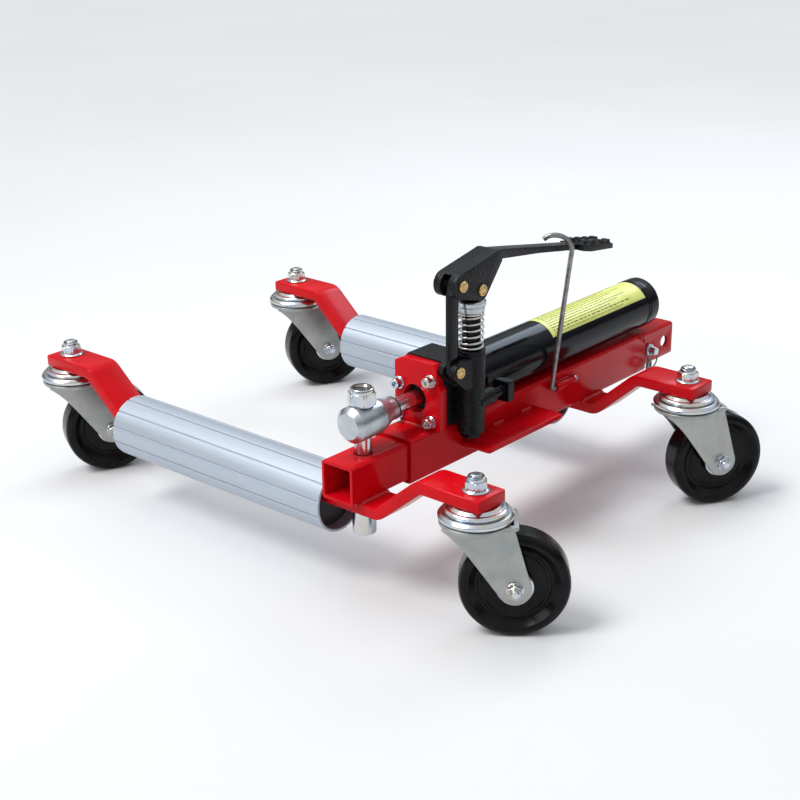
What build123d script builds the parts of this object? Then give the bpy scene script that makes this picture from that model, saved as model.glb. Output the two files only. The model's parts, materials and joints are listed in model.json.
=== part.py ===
"""Hydraulic wheel dolly: two roller arms on a telescopic beam, closed by a foot-pumped ram.

X runs along the beam, from the near arm (-X) to the far arm (+X). The operator stands on the -Y side
and the tyre sits between the rollers on the +Y side. Z is up and the casters stand on z = 0.
The origin is on the floor, under the middle of the whole dolly. Lengths are in millimetres.
"""
from build123d import *
from math import cos, radians, sin
import os

os.makedirs("parts", exist_ok=True)

# Layout
near_x = -237.5
arm_spacing = 348.0
far_x = near_x + arm_spacing
beam_y = -122.0
beam_z = 114.5
fit_gap = 0.05

# Telescopic beam
inner_size = 38.0
inner_wall = 3.0
inner_corner = 3.5
inner_start = near_x - 30.0
inner_end = near_x + 511.0
outer_size = 45.0
outer_wall = 3.2
outer_corner = 4.0
inside_corner = 1.5
outer_start = near_x + 48.0
outer_end = near_x + 451.0
beam_top = beam_z + outer_size / 2
beam_side = beam_y - outer_size / 2

# Lifting arms, bent from flat bar
bar_width = 38.0
bar_thick = 12.0
bend_radius = 15.0
pad_top = 137.0
pad_under = pad_top - bar_thick
pump_pad_end = beam_y - 156.0
pump_upper_bend = beam_y - 87.0
pump_lower_bend = beam_y - 37.0
outer_lower_bend = beam_y + 322.0
outer_upper_bend = beam_y + 372.0
outer_pad_end = beam_y + 440.0
near_bar_top = beam_z - inner_size / 2
far_bar_top = beam_z - outer_size / 2

# Rollers
roller_radius = 32.0
roller_bore = 29.2
roller_length = 296.0
roller_start = beam_y + 24.0
roller_z = 80.5
groove_count = 12
bush_length = 14.0
bush_recess = 12.0

# Casters
wheel_radius = 50.0
wheel_width = 30.0
trail = 34.4
axle_radius = 4.0
kingpin_radius = 6.0
fork_top = 110.8
fork_plate = 4.0
fork_leg = 3.0
fork_inside = 17.5
pump_pivot_y = beam_y - 138.0
outer_pivot_y = beam_y + 421.0
caster_places = {
    "near_pump": (near_x, pump_pivot_y, -51.2),
    "far_pump": (far_x, pump_pivot_y, -31.7),
    "near_outer": (near_x, outer_pivot_y, -25.8),
    "far_outer": (far_x, outer_pivot_y, -29.3),
}

# Hydraulic ram, reservoir and bracket
ram_z = 165.0
ram_pin_x = near_x + 6.0
ram_pin_radius = 8.0
ram_pin_bottom = 55.0
rod_radius = 8.0
eye_radius = 17.5
eye_end = near_x + 46.0
nut_seat = ram_z + eye_radius - 0.8
piston_radius = 16.0
plate_front = near_x + 80.0
plate_thick = 10.0
block_front = plate_front + plate_thick
block_back = near_x + 125.0
reservoir_radius = 27.0
reservoir_wall = 2.5
reservoir_end = near_x + 448.0
cap_end = near_x + 468.0
cap_spigot = 10.0
plug_radius = 4.0
plug_depth = 6.0
screw_radius = 3.0
screw_depth = 12.0
screw_places = ((beam_y - 20, 187.0), (beam_y - 20, 145.5), (beam_y + 19, 177.0), (beam_y + 19, 147.0))

# Foot pump
pump_y = beam_y - 37.0
pump_x = near_x + 119.5
barrel_radius = 13.5
barrel_top = 213.0
pin_radius = 4.0
pin_head_radius = 5.6
pin_head_thick = 2.5
link_foot = (near_x + 91.0, 198.0)
link_head = (near_x + 91.0, 282.5)
plunger_pin = (pump_x, 272.5)
pedal_width = 25.0
pedal_slot = 9.0
plunger_radius = 9.0
plunger_bottom = 170.0
spring_top = 250.0
spring_wire = 1.1
coil_pitch = 7.2
valve_y = beam_y - 43.0
valve_z = 160.0
spindle_start = near_x + 136.5
spindle_radius = 5.0

# Lock pin and wire hook
lock_head_radius = 7.0
lock_x = outer_end + lock_head_radius + 0.6
spare_hole_x = near_x + 494.0
lock_radius = 6.0
hook_wire = 2.5
hook_tube_radius = 4.5
hook_tube_start = near_x + 272.0
hook_tube_length = 31.0
hook_y = beam_side - hook_tube_radius
hook_z = 125.5


def save(part, name):
    """Label a finished sub-part and write it as its own STEP file."""
    part.label = name
    export_step(part, f"parts/{name}.step")


def across(origin_y):
    """Plane that looks along +Y: sketch x is the part's X and sketch y is its Z."""
    return Plane(origin=(0, origin_y, 0), x_dir=(1, 0, 0), z_dir=(0, -1, 0))


def along(origin_x):
    """Plane that looks along the beam: sketch x is the part's Y and sketch y is its Z."""
    return Plane(origin=(origin_x, 0, 0), x_dir=(0, 1, 0), z_dir=(1, 0, 0))


# ---------------------------------------------------------------- telescopic beam


def make_outer_tube():
    inside = outer_size - 2 * outer_wall
    with BuildPart() as tube:
        with BuildSketch(along(outer_start)):
            with Locations((beam_y, beam_z)):
                RectangleRounded(outer_size, outer_size, outer_corner)
                RectangleRounded(inside, inside, inside_corner, mode=Mode.SUBTRACT)
        extrude(amount=outer_end - outer_start)
    save(tube.part, "outer_tube")


def make_inner_tube():
    pin_clearance = 1.0
    spare_hole_radius = 6.5
    inside = inner_size - 2 * inner_wall
    with BuildPart() as tube:
        with BuildSketch(along(inner_start)):
            with Locations((beam_y, beam_z)):
                RectangleRounded(inner_size, inner_size, inner_corner)
                RectangleRounded(inside, inside, inside_corner, mode=Mode.SUBTRACT)
        extrude(amount=inner_end - inner_start)
        with BuildSketch(Plane.XY.offset(near_bar_top)):
            with Locations((ram_pin_x, beam_y)):
                Circle(ram_pin_radius + pin_clearance)
        extrude(amount=inner_size, mode=Mode.SUBTRACT)
        with BuildSketch(across(beam_y + inner_size / 2)):
            with Locations((lock_x, beam_z)):
                Circle(lock_radius + fit_gap)
            with Locations((spare_hole_x, beam_z)):
                Circle(spare_hole_radius)
        extrude(amount=inner_size, mode=Mode.SUBTRACT)
    save(tube.part, "inner_tube")


def make_arm(name, arm_x, bar_top, pin_hole):
    """Flat bar bent four times: caster pad, slope, run under the beam and through the roller, slope, pad."""
    pad_mid = pad_top - bar_thick / 2
    run_mid = bar_top - bar_thick / 2
    end_chamfer = 1.5
    with BuildPart() as arm:
        with BuildLine() as route:
            FilletPolyline(
                (arm_x, pump_pad_end, pad_mid),
                (arm_x, pump_upper_bend, pad_mid),
                (arm_x, pump_lower_bend, run_mid),
                (arm_x, outer_lower_bend, run_mid),
                (arm_x, outer_upper_bend, pad_mid),
                (arm_x, outer_pad_end, pad_mid),
                radius=bend_radius,
            )
        with BuildSketch(Plane(origin=(arm_x, pump_pad_end, pad_mid), x_dir=(1, 0, 0), z_dir=(0, 1, 0))):
            Rectangle(bar_width, bar_thick)
        sweep(path=route.line)
        with BuildSketch(Plane.XY.offset(pad_under - 1)):
            with Locations((arm_x, pump_pivot_y), (arm_x, outer_pivot_y)):
                Circle(kingpin_radius + fit_gap)
        extrude(amount=bar_thick + 2, mode=Mode.SUBTRACT)
        if pin_hole:
            with BuildSketch(Plane.XY.offset(run_mid - bar_thick)):
                with Locations((ram_pin_x, beam_y)):
                    Circle(ram_pin_radius + fit_gap)
            extrude(amount=2 * bar_thick, mode=Mode.SUBTRACT)
        end_corners = arm.edges().filter_by(Axis.Z).group_by(Axis.Y)
        chamfer(end_corners[0] + end_corners[-1], end_chamfer)
    save(arm.part, name)


def make_pin_boss():
    """Turned boss welded under the near arm, where the ram pin ends."""
    boss_bottom = ram_pin_bottom - 2.0
    boss_radius = 11.5
    edge_chamfer = 1.0
    with BuildPart() as boss:
        with BuildSketch(Plane.XY.offset(boss_bottom)):
            with Locations((ram_pin_x, beam_y)):
                Circle(boss_radius)
                Circle(ram_pin_radius + fit_gap, mode=Mode.SUBTRACT)
        extrude(amount=near_bar_top - bar_thick - boss_bottom)
        chamfer(boss.faces().sort_by(Axis.Z)[0].edges().sort_by(SortBy.LENGTH)[-1], edge_chamfer)
    save(boss.part, "pin_boss")


# ---------------------------------------------------------------- rollers


def make_roller(name, arm_x):
    """Extruded aluminium tube with fine grooves along it, open at both ends."""
    groove_width = 1.3
    groove_depth = 0.7
    with BuildPart() as roller:
        with BuildSketch(across(roller_start + roller_length)):
            with Locations((arm_x, roller_z)):
                Circle(roller_radius)
                Circle(roller_bore, mode=Mode.SUBTRACT)
                with PolarLocations(roller_radius, groove_count, start_angle=15):
                    Rectangle(2 * groove_depth, groove_width, mode=Mode.SUBTRACT)
        extrude(amount=roller_length)
    save(roller.part, name)


def make_bushes(name, arm_x, bar_top):
    """Two nylon discs that sit on the flat bar and carry the roller."""
    first = roller_start + bush_recess + bush_length
    second = roller_start + roller_length - bush_recess
    with BuildPart() as bushes:
        for face_y in (first, second):
            with BuildSketch(across(face_y)):
                with Locations((arm_x, roller_z)):
                    Circle(roller_bore - fit_gap)
                with Locations((arm_x, bar_top - bar_thick / 2)):
                    Rectangle(bar_width, bar_thick, mode=Mode.SUBTRACT)
            extrude(amount=bush_length)
    save(bushes.part, name)


# ---------------------------------------------------------------- casters


def turning_plane(place, height=0.0):
    """Horizontal plane on the kingpin, with sketch x along the caster's trail."""
    x, y, yaw = place
    return Plane(origin=(x, y, height), x_dir=(cos(radians(yaw)), sin(radians(yaw)), 0), z_dir=(0, 0, 1))


def leg_plane(place, offset):
    """Upright plane parallel to the wheel: sketch x is along the trail and sketch y is Z."""
    x, y, yaw = place
    side = (sin(radians(yaw)), -cos(radians(yaw)), 0)
    origin = (x + side[0] * offset, y + side[1] * offset, 0)
    return Plane(origin=origin, x_dir=(cos(radians(yaw)), sin(radians(yaw)), 0), z_dir=side)


def axle_section(place):
    """Upright plane through the wheel's axle: sketch x is along the axle and sketch y is Z."""
    x, y, yaw = place
    ahead = (cos(radians(yaw)), sin(radians(yaw)), 0)
    side = (sin(radians(yaw)), -cos(radians(yaw)), 0)
    origin = (x + ahead[0] * trail, y + ahead[1] * trail, wheel_radius)
    return Plane(origin=origin, x_dir=side, z_dir=(-ahead[0], -ahead[1], 0))


def make_raceway(name, place):
    """Two pressed discs, one over the other, clamped under the arm's pad."""
    race_bottom = fork_top + 0.5
    seat_radius = 20.0
    upper_radius = 28.5
    upper_bottom = 118.4
    upper_top = upper_bottom + 3.8
    lower_radius = 34.0
    pivot = leg_plane(place, 0)
    with BuildPart() as race:
        with BuildSketch(pivot):
            with BuildLine():
                Polyline(
                    (kingpin_radius + fit_gap, race_bottom),
                    (kingpin_radius + fit_gap, pad_under),
                    (seat_radius, pad_under),
                    (seat_radius + 3, upper_top),
                    (upper_radius - 2, upper_top),
                    (upper_radius, upper_top - 1.7),
                    (upper_radius, upper_bottom),
                    (lower_radius - 2.5, upper_bottom),
                    (lower_radius, upper_bottom - 2.4),
                    (lower_radius, race_bottom + 1.7),
                    (lower_radius - 2, race_bottom),
                    close=True,
                )
            make_face()
        revolve(axis=Axis((place[0], place[1], 0), (0, 0, 1)))
    save(race.part, f"raceway_{name}")


def make_kingpin(name, place):
    """Riveted stud through the caster head and the pad, with a flange washer and a lock nut on top."""
    washer_thick = 2.5
    washer_radius = 12.3
    nut_height = 9.5
    nut_flats = 19.0
    nut_corner_radius = 10.6
    collar_height = 2.5
    collar_radius = 8.3
    head_top = 105.5
    head_thick = 4.0
    head_radius = 10.0
    nut_bottom = pad_top + washer_thick
    collar_top = nut_bottom + nut_height + collar_height
    stud_top = collar_top + 1.5
    with BuildPart() as pin:
        with BuildSketch(turning_plane(place, head_top - head_thick)):
            Circle(head_radius)
        extrude(amount=head_thick)
        with BuildSketch(turning_plane(place, head_top)):
            Circle(kingpin_radius)
        extrude(amount=stud_top - head_top)
        chamfer(pin.faces().sort_by(Axis.Z)[-1].edges(), 1)
    with BuildPart() as washer:
        with BuildSketch(turning_plane(place, pad_top)):
            Circle(washer_radius)
            Circle(kingpin_radius + fit_gap, mode=Mode.SUBTRACT)
        extrude(amount=washer_thick)
    with BuildPart() as nut:
        with BuildSketch(turning_plane(place, nut_bottom)):
            RegularPolygon(nut_flats / 2, 6, major_radius=False)
        extrude(amount=nut_height)
        with BuildSketch(turning_plane(place, nut_bottom)):
            Circle(nut_corner_radius)
        extrude(amount=nut_height, mode=Mode.INTERSECT)
        with BuildSketch(turning_plane(place, nut_bottom + nut_height)):
            Circle(collar_radius)
        extrude(amount=collar_height)
        with BuildSketch(turning_plane(place, nut_bottom)):
            Circle(kingpin_radius + fit_gap)
        extrude(amount=nut_height + collar_height, mode=Mode.SUBTRACT)
    stack = Compound(children=[pin.part, washer.part, nut.part])
    save(stack, f"kingpin_{name}")


def make_fork(name, place):
    """Pressed steel fork: a round top plate and two tapering legs down to the axle."""
    leg_round = 15.0
    plate_radius = 33.0
    shoulder_reach = 38.0
    neck_x = -13.0
    neck_z = 87.0
    rear_x = 33.0
    lip_x = -30.0
    plate_bottom = fork_top - fork_plate
    with BuildPart() as fork:
        with BuildSketch(turning_plane(place, plate_bottom)):
            Circle(plate_radius)
            with Locations((shoulder_reach / 2, 0)):
                Rectangle(shoulder_reach, 2 * (fork_inside + fork_leg))
            Circle(kingpin_radius + 1, mode=Mode.SUBTRACT)
        extrude(amount=fork_plate)
        for offset in (fork_inside + fork_leg, -fork_inside):
            with BuildSketch(leg_plane(place, offset)):
                with Locations((trail, wheel_radius)):
                    Circle(leg_round)
                with BuildLine():
                    Polyline((neck_x, neck_z), (neck_x, fork_top), (rear_x, fork_top), close=True)
                make_face()
                make_hull()
                with BuildLine():
                    Polyline(
                        (lip_x, fork_top),
                        (neck_x, fork_top),
                        (neck_x, neck_z),
                        (lip_x + 8, neck_z + 11),
                        close=True,
                    )
                make_face()
                with Locations((trail, wheel_radius)):
                    Circle(axle_radius + fit_gap, mode=Mode.SUBTRACT)
            extrude(amount=-fork_leg)
    save(fork.part, f"fork_{name}")


def make_wheel(name, place):
    """Solid wheel with rounded shoulders, dished faces and a hub."""
    half = wheel_width / 2
    hub_half = fork_inside - 0.5
    hub_radius = 10.0
    dish_half = 8.5
    rim_radius = 41.5
    section = axle_section(place)
    with BuildPart() as wheel:
        with BuildSketch(section):
            with BuildLine():
                Polyline(
                    (0, axle_radius + fit_gap),
                    (hub_half, axle_radius + fit_gap),
                    (hub_half, hub_radius),
                    (dish_half, hub_radius + 3),
                    (dish_half - 0.5, rim_radius - 6.5),
                    (dish_half + 2.5, rim_radius - 1.5),
                    (half, rim_radius),
                    (half, wheel_radius - 4),
                    (half - 4, wheel_radius),
                    (0, wheel_radius),
                    close=True,
                )
            make_face()
            mirror(about=Plane.YZ)
        revolve(axis=Axis(section.origin, section.x_dir))
        shoulders = wheel.edges().filter_by(GeomType.CIRCLE).sort_by(SortBy.LENGTH)[-2:]
        fillet(shoulders, 1.8)
    save(wheel.part, f"wheel_{name}")


def make_axle(name, place):
    """Axle bolt with a hex head on one side and a nut on the other."""
    face = fork_inside + fork_leg
    head = 6.0
    head_flats = 13.0
    tail = 4.0
    ahead = leg_plane(place, 0)
    with BuildPart() as bolt:
        with BuildSketch(ahead.offset(-face)):
            with Locations((trail, wheel_radius)):
                Circle(axle_radius)
        extrude(amount=2 * face + head + tail)
        with BuildSketch(ahead.offset(-face - head)):
            with Locations((trail, wheel_radius)):
                RegularPolygon(head_flats / 2, 6, major_radius=False)
        extrude(amount=head)
    with BuildPart() as nut:
        with BuildSketch(ahead.offset(face)):
            with Locations((trail, wheel_radius)):
                RegularPolygon(head_flats / 2, 6, major_radius=False)
                Circle(axle_radius + fit_gap, mode=Mode.SUBTRACT)
        extrude(amount=head)
    pair = Compound(children=[bolt.part, nut.part])
    save(pair, f"axle_{name}")


# ---------------------------------------------------------------- bracket and ledge


def make_bracket_plate():
    """Upright plate welded across the front of the beam's top; the block bolts to its back."""
    bracket_top = 203.5
    rod_hole = 14.0
    left = beam_y - 31.0
    left_upper = beam_y - 26.8
    right = beam_y + 25.0
    with BuildPart() as plate:
        with BuildSketch(along(plate_front)):
            with BuildLine():
                Polyline(
                    (left, beam_top),
                    (left, bracket_top - 25),
                    (left_upper, bracket_top - 19),
                    (left_upper, bracket_top - 4),
                    (left_upper + 4, bracket_top),
                    (right - 10, bracket_top),
                    (right, bracket_top - 5),
                    (right, beam_top + 13),
                    (right - 7, beam_top),
                    close=True,
                )
            make_face()
            with Locations((beam_y, ram_z)):
                Circle(rod_hole, mode=Mode.SUBTRACT)
            with Locations(screw_places):
                Circle(screw_radius + 0.2, mode=Mode.SUBTRACT)
        extrude(amount=plate_thick)
        chamfer(plate.faces().sort_by(Axis.X)[0].outer_wire().edges(), 0.5)
    save(plate.part, "bracket_plate")


def make_ledge_plate():
    """Flat step welded to the operator's side of the beam, under the pump."""
    ledge_start = near_x + 122.0
    ledge_end = near_x + 243.0
    ledge_reach = 35.5
    ledge_thick = 5.0
    ledge_top = 113.5
    with BuildPart() as ledge:
        with BuildSketch(Plane.XY.offset(ledge_top - ledge_thick)):
            with Locations(((ledge_start + ledge_end) / 2, beam_side - ledge_reach / 2)):
                Rectangle(ledge_end - ledge_start, ledge_reach)
        extrude(amount=ledge_thick)
        chamfer(ledge.edges().filter_by(Axis.Z).group_by(Axis.Y)[0], 2)
    save(ledge.part, "ledge_plate")


def make_mount_screws():
    """Four socket-head cap screws with washers."""
    washer = 1.6
    washer_radius = 6.4
    head = 6.5
    head_radius = 5.0
    socket_flats = 5.0
    socket_depth = 3.5
    with BuildPart() as screws:
        with BuildSketch(along(plate_front - washer)):
            with Locations(screw_places):
                Circle(washer_radius)
        extrude(amount=washer)
        with BuildSketch(along(plate_front - washer - head)):
            with Locations(screw_places):
                Circle(head_radius)
        extrude(amount=head)
        with BuildSketch(along(plate_front - washer - head)):
            with Locations(screw_places):
                RegularPolygon(socket_flats / 2, 6, major_radius=False)
        extrude(amount=socket_depth, mode=Mode.SUBTRACT)
        with BuildSketch(along(plate_front)):
            with Locations(screw_places):
                Circle(screw_radius)
        extrude(amount=plate_thick + screw_depth)
    save(screws.part, "mount_screws")


# ---------------------------------------------------------------- hydraulics


def make_pump_block():
    """Cast block behind the bracket, with the upright pump barrel, link clevis and valve boss on its side."""
    block_bottom = beam_top + 0.6
    block_top = 205.0
    left = beam_y - 26.0
    right = beam_y + 24.0
    barrel_bottom = 130.0
    cheek = 6.0
    cheek_gap = 7.0
    clevis_radius = 9.0
    valve_boss_radius = 8.5
    valve_boss_end = near_x + 142.0
    valve_depth = 6.0
    web_right = left + 2.0
    web_left = pump_x - barrel_radius
    foot_x, foot_z = link_foot
    with BuildPart() as block:
        with BuildSketch(along(block_front)):
            with BuildLine():
                Polyline(
                    (left, block_bottom),
                    (left, block_top),
                    (right - 8, block_top),
                    (right, block_top - 8),
                    (right, block_bottom),
                    close=True,
                )
            make_face()
        extrude(amount=block_back - block_front)
        with BuildSketch(Plane.XY.offset(barrel_bottom)):
            with Locations((pump_x, pump_y)):
                Circle(barrel_radius)
        extrude(amount=barrel_top - barrel_bottom)
        with BuildSketch(Plane.XY.offset(block_bottom)):
            with Locations(((web_left + block_back) / 2, (pump_y + web_right) / 2)):
                Rectangle(block_back - web_left, web_right - pump_y)
        extrude(amount=block_top - 4 - block_bottom)
        for face_y in (pump_y + cheek_gap / 2 + cheek, pump_y - cheek_gap / 2):
            with BuildSketch(across(face_y)):
                with Locations((foot_x, foot_z)):
                    Circle(clevis_radius)
                with BuildLine():
                    Polyline(
                        (foot_x + clevis_radius, foot_z - 20),
                        (pump_x, foot_z - 20),
                        (pump_x, foot_z + clevis_radius),
                        close=True,
                    )
                make_face()
                make_hull()
            extrude(amount=cheek)
        with BuildSketch(along(pump_x)):
            with Locations((valve_y, valve_z)):
                Circle(valve_boss_radius)
        extrude(amount=valve_boss_end - pump_x)
        with BuildSketch(along(block_back)):
            with Locations((beam_y, ram_z)):
                Circle(reservoir_radius + 0.3)
        extrude(amount=valve_boss_end - block_back, mode=Mode.SUBTRACT)
        with BuildSketch(across(pump_y + barrel_radius)):
            with Locations(link_foot):
                Circle(pin_radius + fit_gap)
        extrude(amount=2 * barrel_radius, mode=Mode.SUBTRACT)
        with BuildSketch(along(block_front)):
            with Locations((beam_y, ram_z)):
                Circle(rod_radius + fit_gap)
        extrude(amount=block_back - block_front, mode=Mode.SUBTRACT)
        with BuildSketch(along(block_front)):
            with Locations(screw_places):
                Circle(screw_radius + fit_gap)
        extrude(amount=screw_depth + 1, mode=Mode.SUBTRACT)
        with BuildSketch(Plane.XY.offset(plunger_bottom - 20)):
            with Locations((pump_x, pump_y)):
                Circle(plunger_radius + fit_gap)
        extrude(amount=barrel_top - plunger_bottom + 20, mode=Mode.SUBTRACT)
        with BuildSketch(along(valve_boss_end - valve_depth)):
            with Locations((valve_y, valve_z)):
                Circle(spindle_radius + fit_gap)
        extrude(amount=valve_depth, mode=Mode.SUBTRACT)
    save(block.part, "pump_block")


def make_reservoir():
    with BuildPart() as tube:
        with BuildSketch(along(block_back)):
            with Locations((beam_y, ram_z)):
                Circle(reservoir_radius)
                Circle(reservoir_radius - reservoir_wall, mode=Mode.SUBTRACT)
        extrude(amount=reservoir_end - block_back)
    save(tube.part, "reservoir")


def make_pressure_tube():
    """Working cylinder inside the reservoir; the piston runs in it."""
    with BuildPart() as tube:
        with BuildSketch(along(block_back)):
            with Locations((beam_y, ram_z)):
                Circle(piston_radius + 3)
                Circle(piston_radius, mode=Mode.SUBTRACT)
        extrude(amount=reservoir_end - block_back - cap_spigot - 5)
    save(tube.part, "pressure_tube")


def make_end_cap():
    cap_radius = 27.6
    cap_round = 3.5
    with BuildPart() as cap:
        with BuildSketch(along(reservoir_end)):
            with Locations((beam_y, ram_z)):
                Circle(cap_radius)
        extrude(amount=cap_end - reservoir_end)
        fillet(cap.faces().sort_by(Axis.X)[-1].edges(), cap_round)
        with BuildSketch(along(reservoir_end - cap_spigot)):
            with Locations((beam_y, ram_z)):
                Circle(reservoir_radius - reservoir_wall - fit_gap)
        extrude(amount=cap_spigot)
        with BuildSketch(along(cap_end - plug_depth)):
            with Locations((beam_y, ram_z)):
                Circle(plug_radius)
        extrude(amount=plug_depth, mode=Mode.SUBTRACT)
    save(cap.part, "end_cap")


def make_filler_plug():
    head_radius = 6.5
    head_thick = 2.5
    head_chamfer = 0.8
    with BuildPart() as plug:
        with BuildSketch(along(cap_end - plug_depth)):
            with Locations((beam_y, ram_z)):
                Circle(plug_radius - fit_gap)
        extrude(amount=plug_depth)
        with BuildSketch(along(cap_end)):
            with Locations((beam_y, ram_z)):
                Circle(head_radius)
        extrude(amount=head_thick)
        chamfer(plug.faces().sort_by(Axis.X)[-1].edges(), head_chamfer)
    save(plug.part, "filler_plug")


def make_label():
    """Blank sticker that wraps over the reservoir."""
    label_start = near_x + 272.0
    label_end = near_x + 444.0
    from_front = 148.0
    to_back = 66.0
    reach = 60.0
    film_inside = reservoir_radius + 0.02
    film_outside = reservoir_radius + 0.3
    with BuildPart() as label:
        with BuildSketch(along(label_start)):
            with Locations((beam_y, ram_z)):
                Circle(film_outside)
                Circle(film_inside, mode=Mode.SUBTRACT)
            with BuildLine():
                Polyline(
                    (beam_y, ram_z),
                    (beam_y + reach * cos(radians(from_front)), ram_z + reach * sin(radians(from_front))),
                    (beam_y, ram_z + 2 * reach),
                    (beam_y + reach * cos(radians(to_back)), ram_z + reach * sin(radians(to_back))),
                    close=True,
                )
            make_face(mode=Mode.INTERSECT)
        extrude(amount=label_end - label_start)
    save(label.part, "label")


def make_ram_eye():
    """Turned steel eye on the rod's end: a chamfered barrel that narrows to the rod."""
    eye_start = near_x - 14.0
    neck_radius = 11.0
    flat_radius = 14.0
    with BuildPart() as eye:
        with BuildSketch(across(beam_y)):
            with BuildLine():
                Polyline(
                    (eye_start, ram_z),
                    (eye_start, ram_z + eye_radius - 5),
                    (eye_start + 5, ram_z + eye_radius),
                    (eye_end - 24, ram_z + eye_radius),
                    (eye_end - 6, ram_z + neck_radius),
                    (eye_end, ram_z + neck_radius),
                    (eye_end, ram_z),
                    close=True,
                )
            make_face()
        revolve(axis=Axis((0, beam_y, ram_z), (1, 0, 0)))
        with BuildSketch(Plane.XY.offset(ram_z - eye_radius - 1)):
            with Locations((ram_pin_x, beam_y)):
                Circle(ram_pin_radius + fit_gap)
        extrude(amount=2 * eye_radius + 2, mode=Mode.SUBTRACT)
        with BuildSketch(Plane.XY.offset(nut_seat)):
            with Locations((ram_pin_x, beam_y)):
                Circle(flat_radius)
        extrude(amount=eye_radius, mode=Mode.SUBTRACT)
    save(eye.part, "ram_eye")


def make_seal_ring():
    ring_radius = 11.3
    ring_thick = 2.2
    with BuildPart() as ring:
        with BuildSketch(along(eye_end)):
            with Locations((beam_y, ram_z)):
                Circle(ring_radius)
                Circle(rod_radius + fit_gap, mode=Mode.SUBTRACT)
        extrude(amount=ring_thick)
    save(ring.part, "seal_ring")


def make_piston_rod():
    """Rod from the eye into the working cylinder, with the piston on its inner end."""
    piston_x = near_x + 296.0
    piston_length = 16.0
    with BuildPart() as rod:
        with BuildSketch(along(eye_end)):
            with Locations((beam_y, ram_z)):
                Circle(rod_radius)
        extrude(amount=piston_x - eye_end)
        with BuildSketch(along(piston_x)):
            with Locations((beam_y, ram_z)):
                Circle(piston_radius - fit_gap)
        extrude(amount=piston_length)
    save(rod.part, "piston_rod")


def make_ram_pin():
    pin_top = nut_seat + 14.0
    end_chamfer = 0.8
    with BuildPart() as pin:
        with BuildSketch(Plane.XY.offset(ram_pin_bottom)):
            with Locations((ram_pin_x, beam_y)):
                Circle(ram_pin_radius)
        extrude(amount=pin_top - ram_pin_bottom)
        chamfer(pin.edges().filter_by(GeomType.CIRCLE), end_chamfer)
    save(pin.part, "ram_pin")


def make_ram_pin_nut():
    nut_flats = 24.0
    nut_corner_radius = 13.4
    nut_height = 12.0
    collar_radius = 11.4
    collar_height = 4.5
    with BuildPart() as nut:
        with BuildSketch(Plane.XY.offset(nut_seat)):
            with Locations((ram_pin_x, beam_y)):
                RegularPolygon(nut_flats / 2, 6, major_radius=False)
        extrude(amount=nut_height)
        with BuildSketch(Plane.XY.offset(nut_seat)):
            with Locations((ram_pin_x, beam_y)):
                Circle(nut_corner_radius)
        extrude(amount=nut_height, mode=Mode.INTERSECT)
        with BuildSketch(Plane.XY.offset(nut_seat + nut_height)):
            with Locations((ram_pin_x, beam_y)):
                Circle(collar_radius)
        extrude(amount=collar_height)
        fillet(nut.faces().sort_by(Axis.Z)[-1].edges(), 1.5)
        with BuildSketch(Plane.XY.offset(nut_seat)):
            with Locations((ram_pin_x, beam_y)):
                Circle(ram_pin_radius + fit_gap)
        extrude(amount=nut_height + collar_height, mode=Mode.SUBTRACT)
    save(nut.part, "ram_pin_nut")


# ---------------------------------------------------------------- foot pump


def make_link_bar():
    """Flat link between the block's clevis and the pedal."""
    link_thick = 6.0
    link_half = 6.5
    with BuildPart() as link:
        with BuildSketch(across(pump_y + link_thick / 2)):
            with Locations(link_foot, link_head):
                Circle(link_half)
            with Locations(((link_foot[0] + link_head[0]) / 2, (link_foot[1] + link_head[1]) / 2)):
                Rectangle(2 * link_half, link_head[1] - link_foot[1])
            with Locations(link_foot, link_head):
                Circle(pin_radius + fit_gap, mode=Mode.SUBTRACT)
        extrude(amount=link_thick)
    save(link.part, "link_bar")


def make_link_pin():
    """Pin that holds the link bar in the block's clevis, with its head on the operator's side."""
    half_grip = 9.5
    with BuildPart() as pin:
        with BuildSketch(across(pump_y + half_grip)):
            with Locations(link_foot):
                Circle(pin_radius)
        extrude(amount=2 * half_grip)
        with BuildSketch(across(pump_y - half_grip)):
            with Locations(link_foot):
                Circle(pin_head_radius)
        extrude(amount=pin_head_thick)
    save(pin.part, "link_pin")


def make_rivets(name, places, half_grip):
    with BuildPart() as rivets:
        for place in places:
            with BuildSketch(across(pump_y + half_grip)):
                with Locations(place):
                    Circle(pin_radius)
            extrude(amount=2 * half_grip)
            for face_y in (pump_y + half_grip + pin_head_thick, pump_y - half_grip):
                with BuildSketch(across(face_y)):
                    with Locations(place):
                        Circle(pin_head_radius)
                extrude(amount=pin_head_thick)
    save(rivets.part, name)


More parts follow.
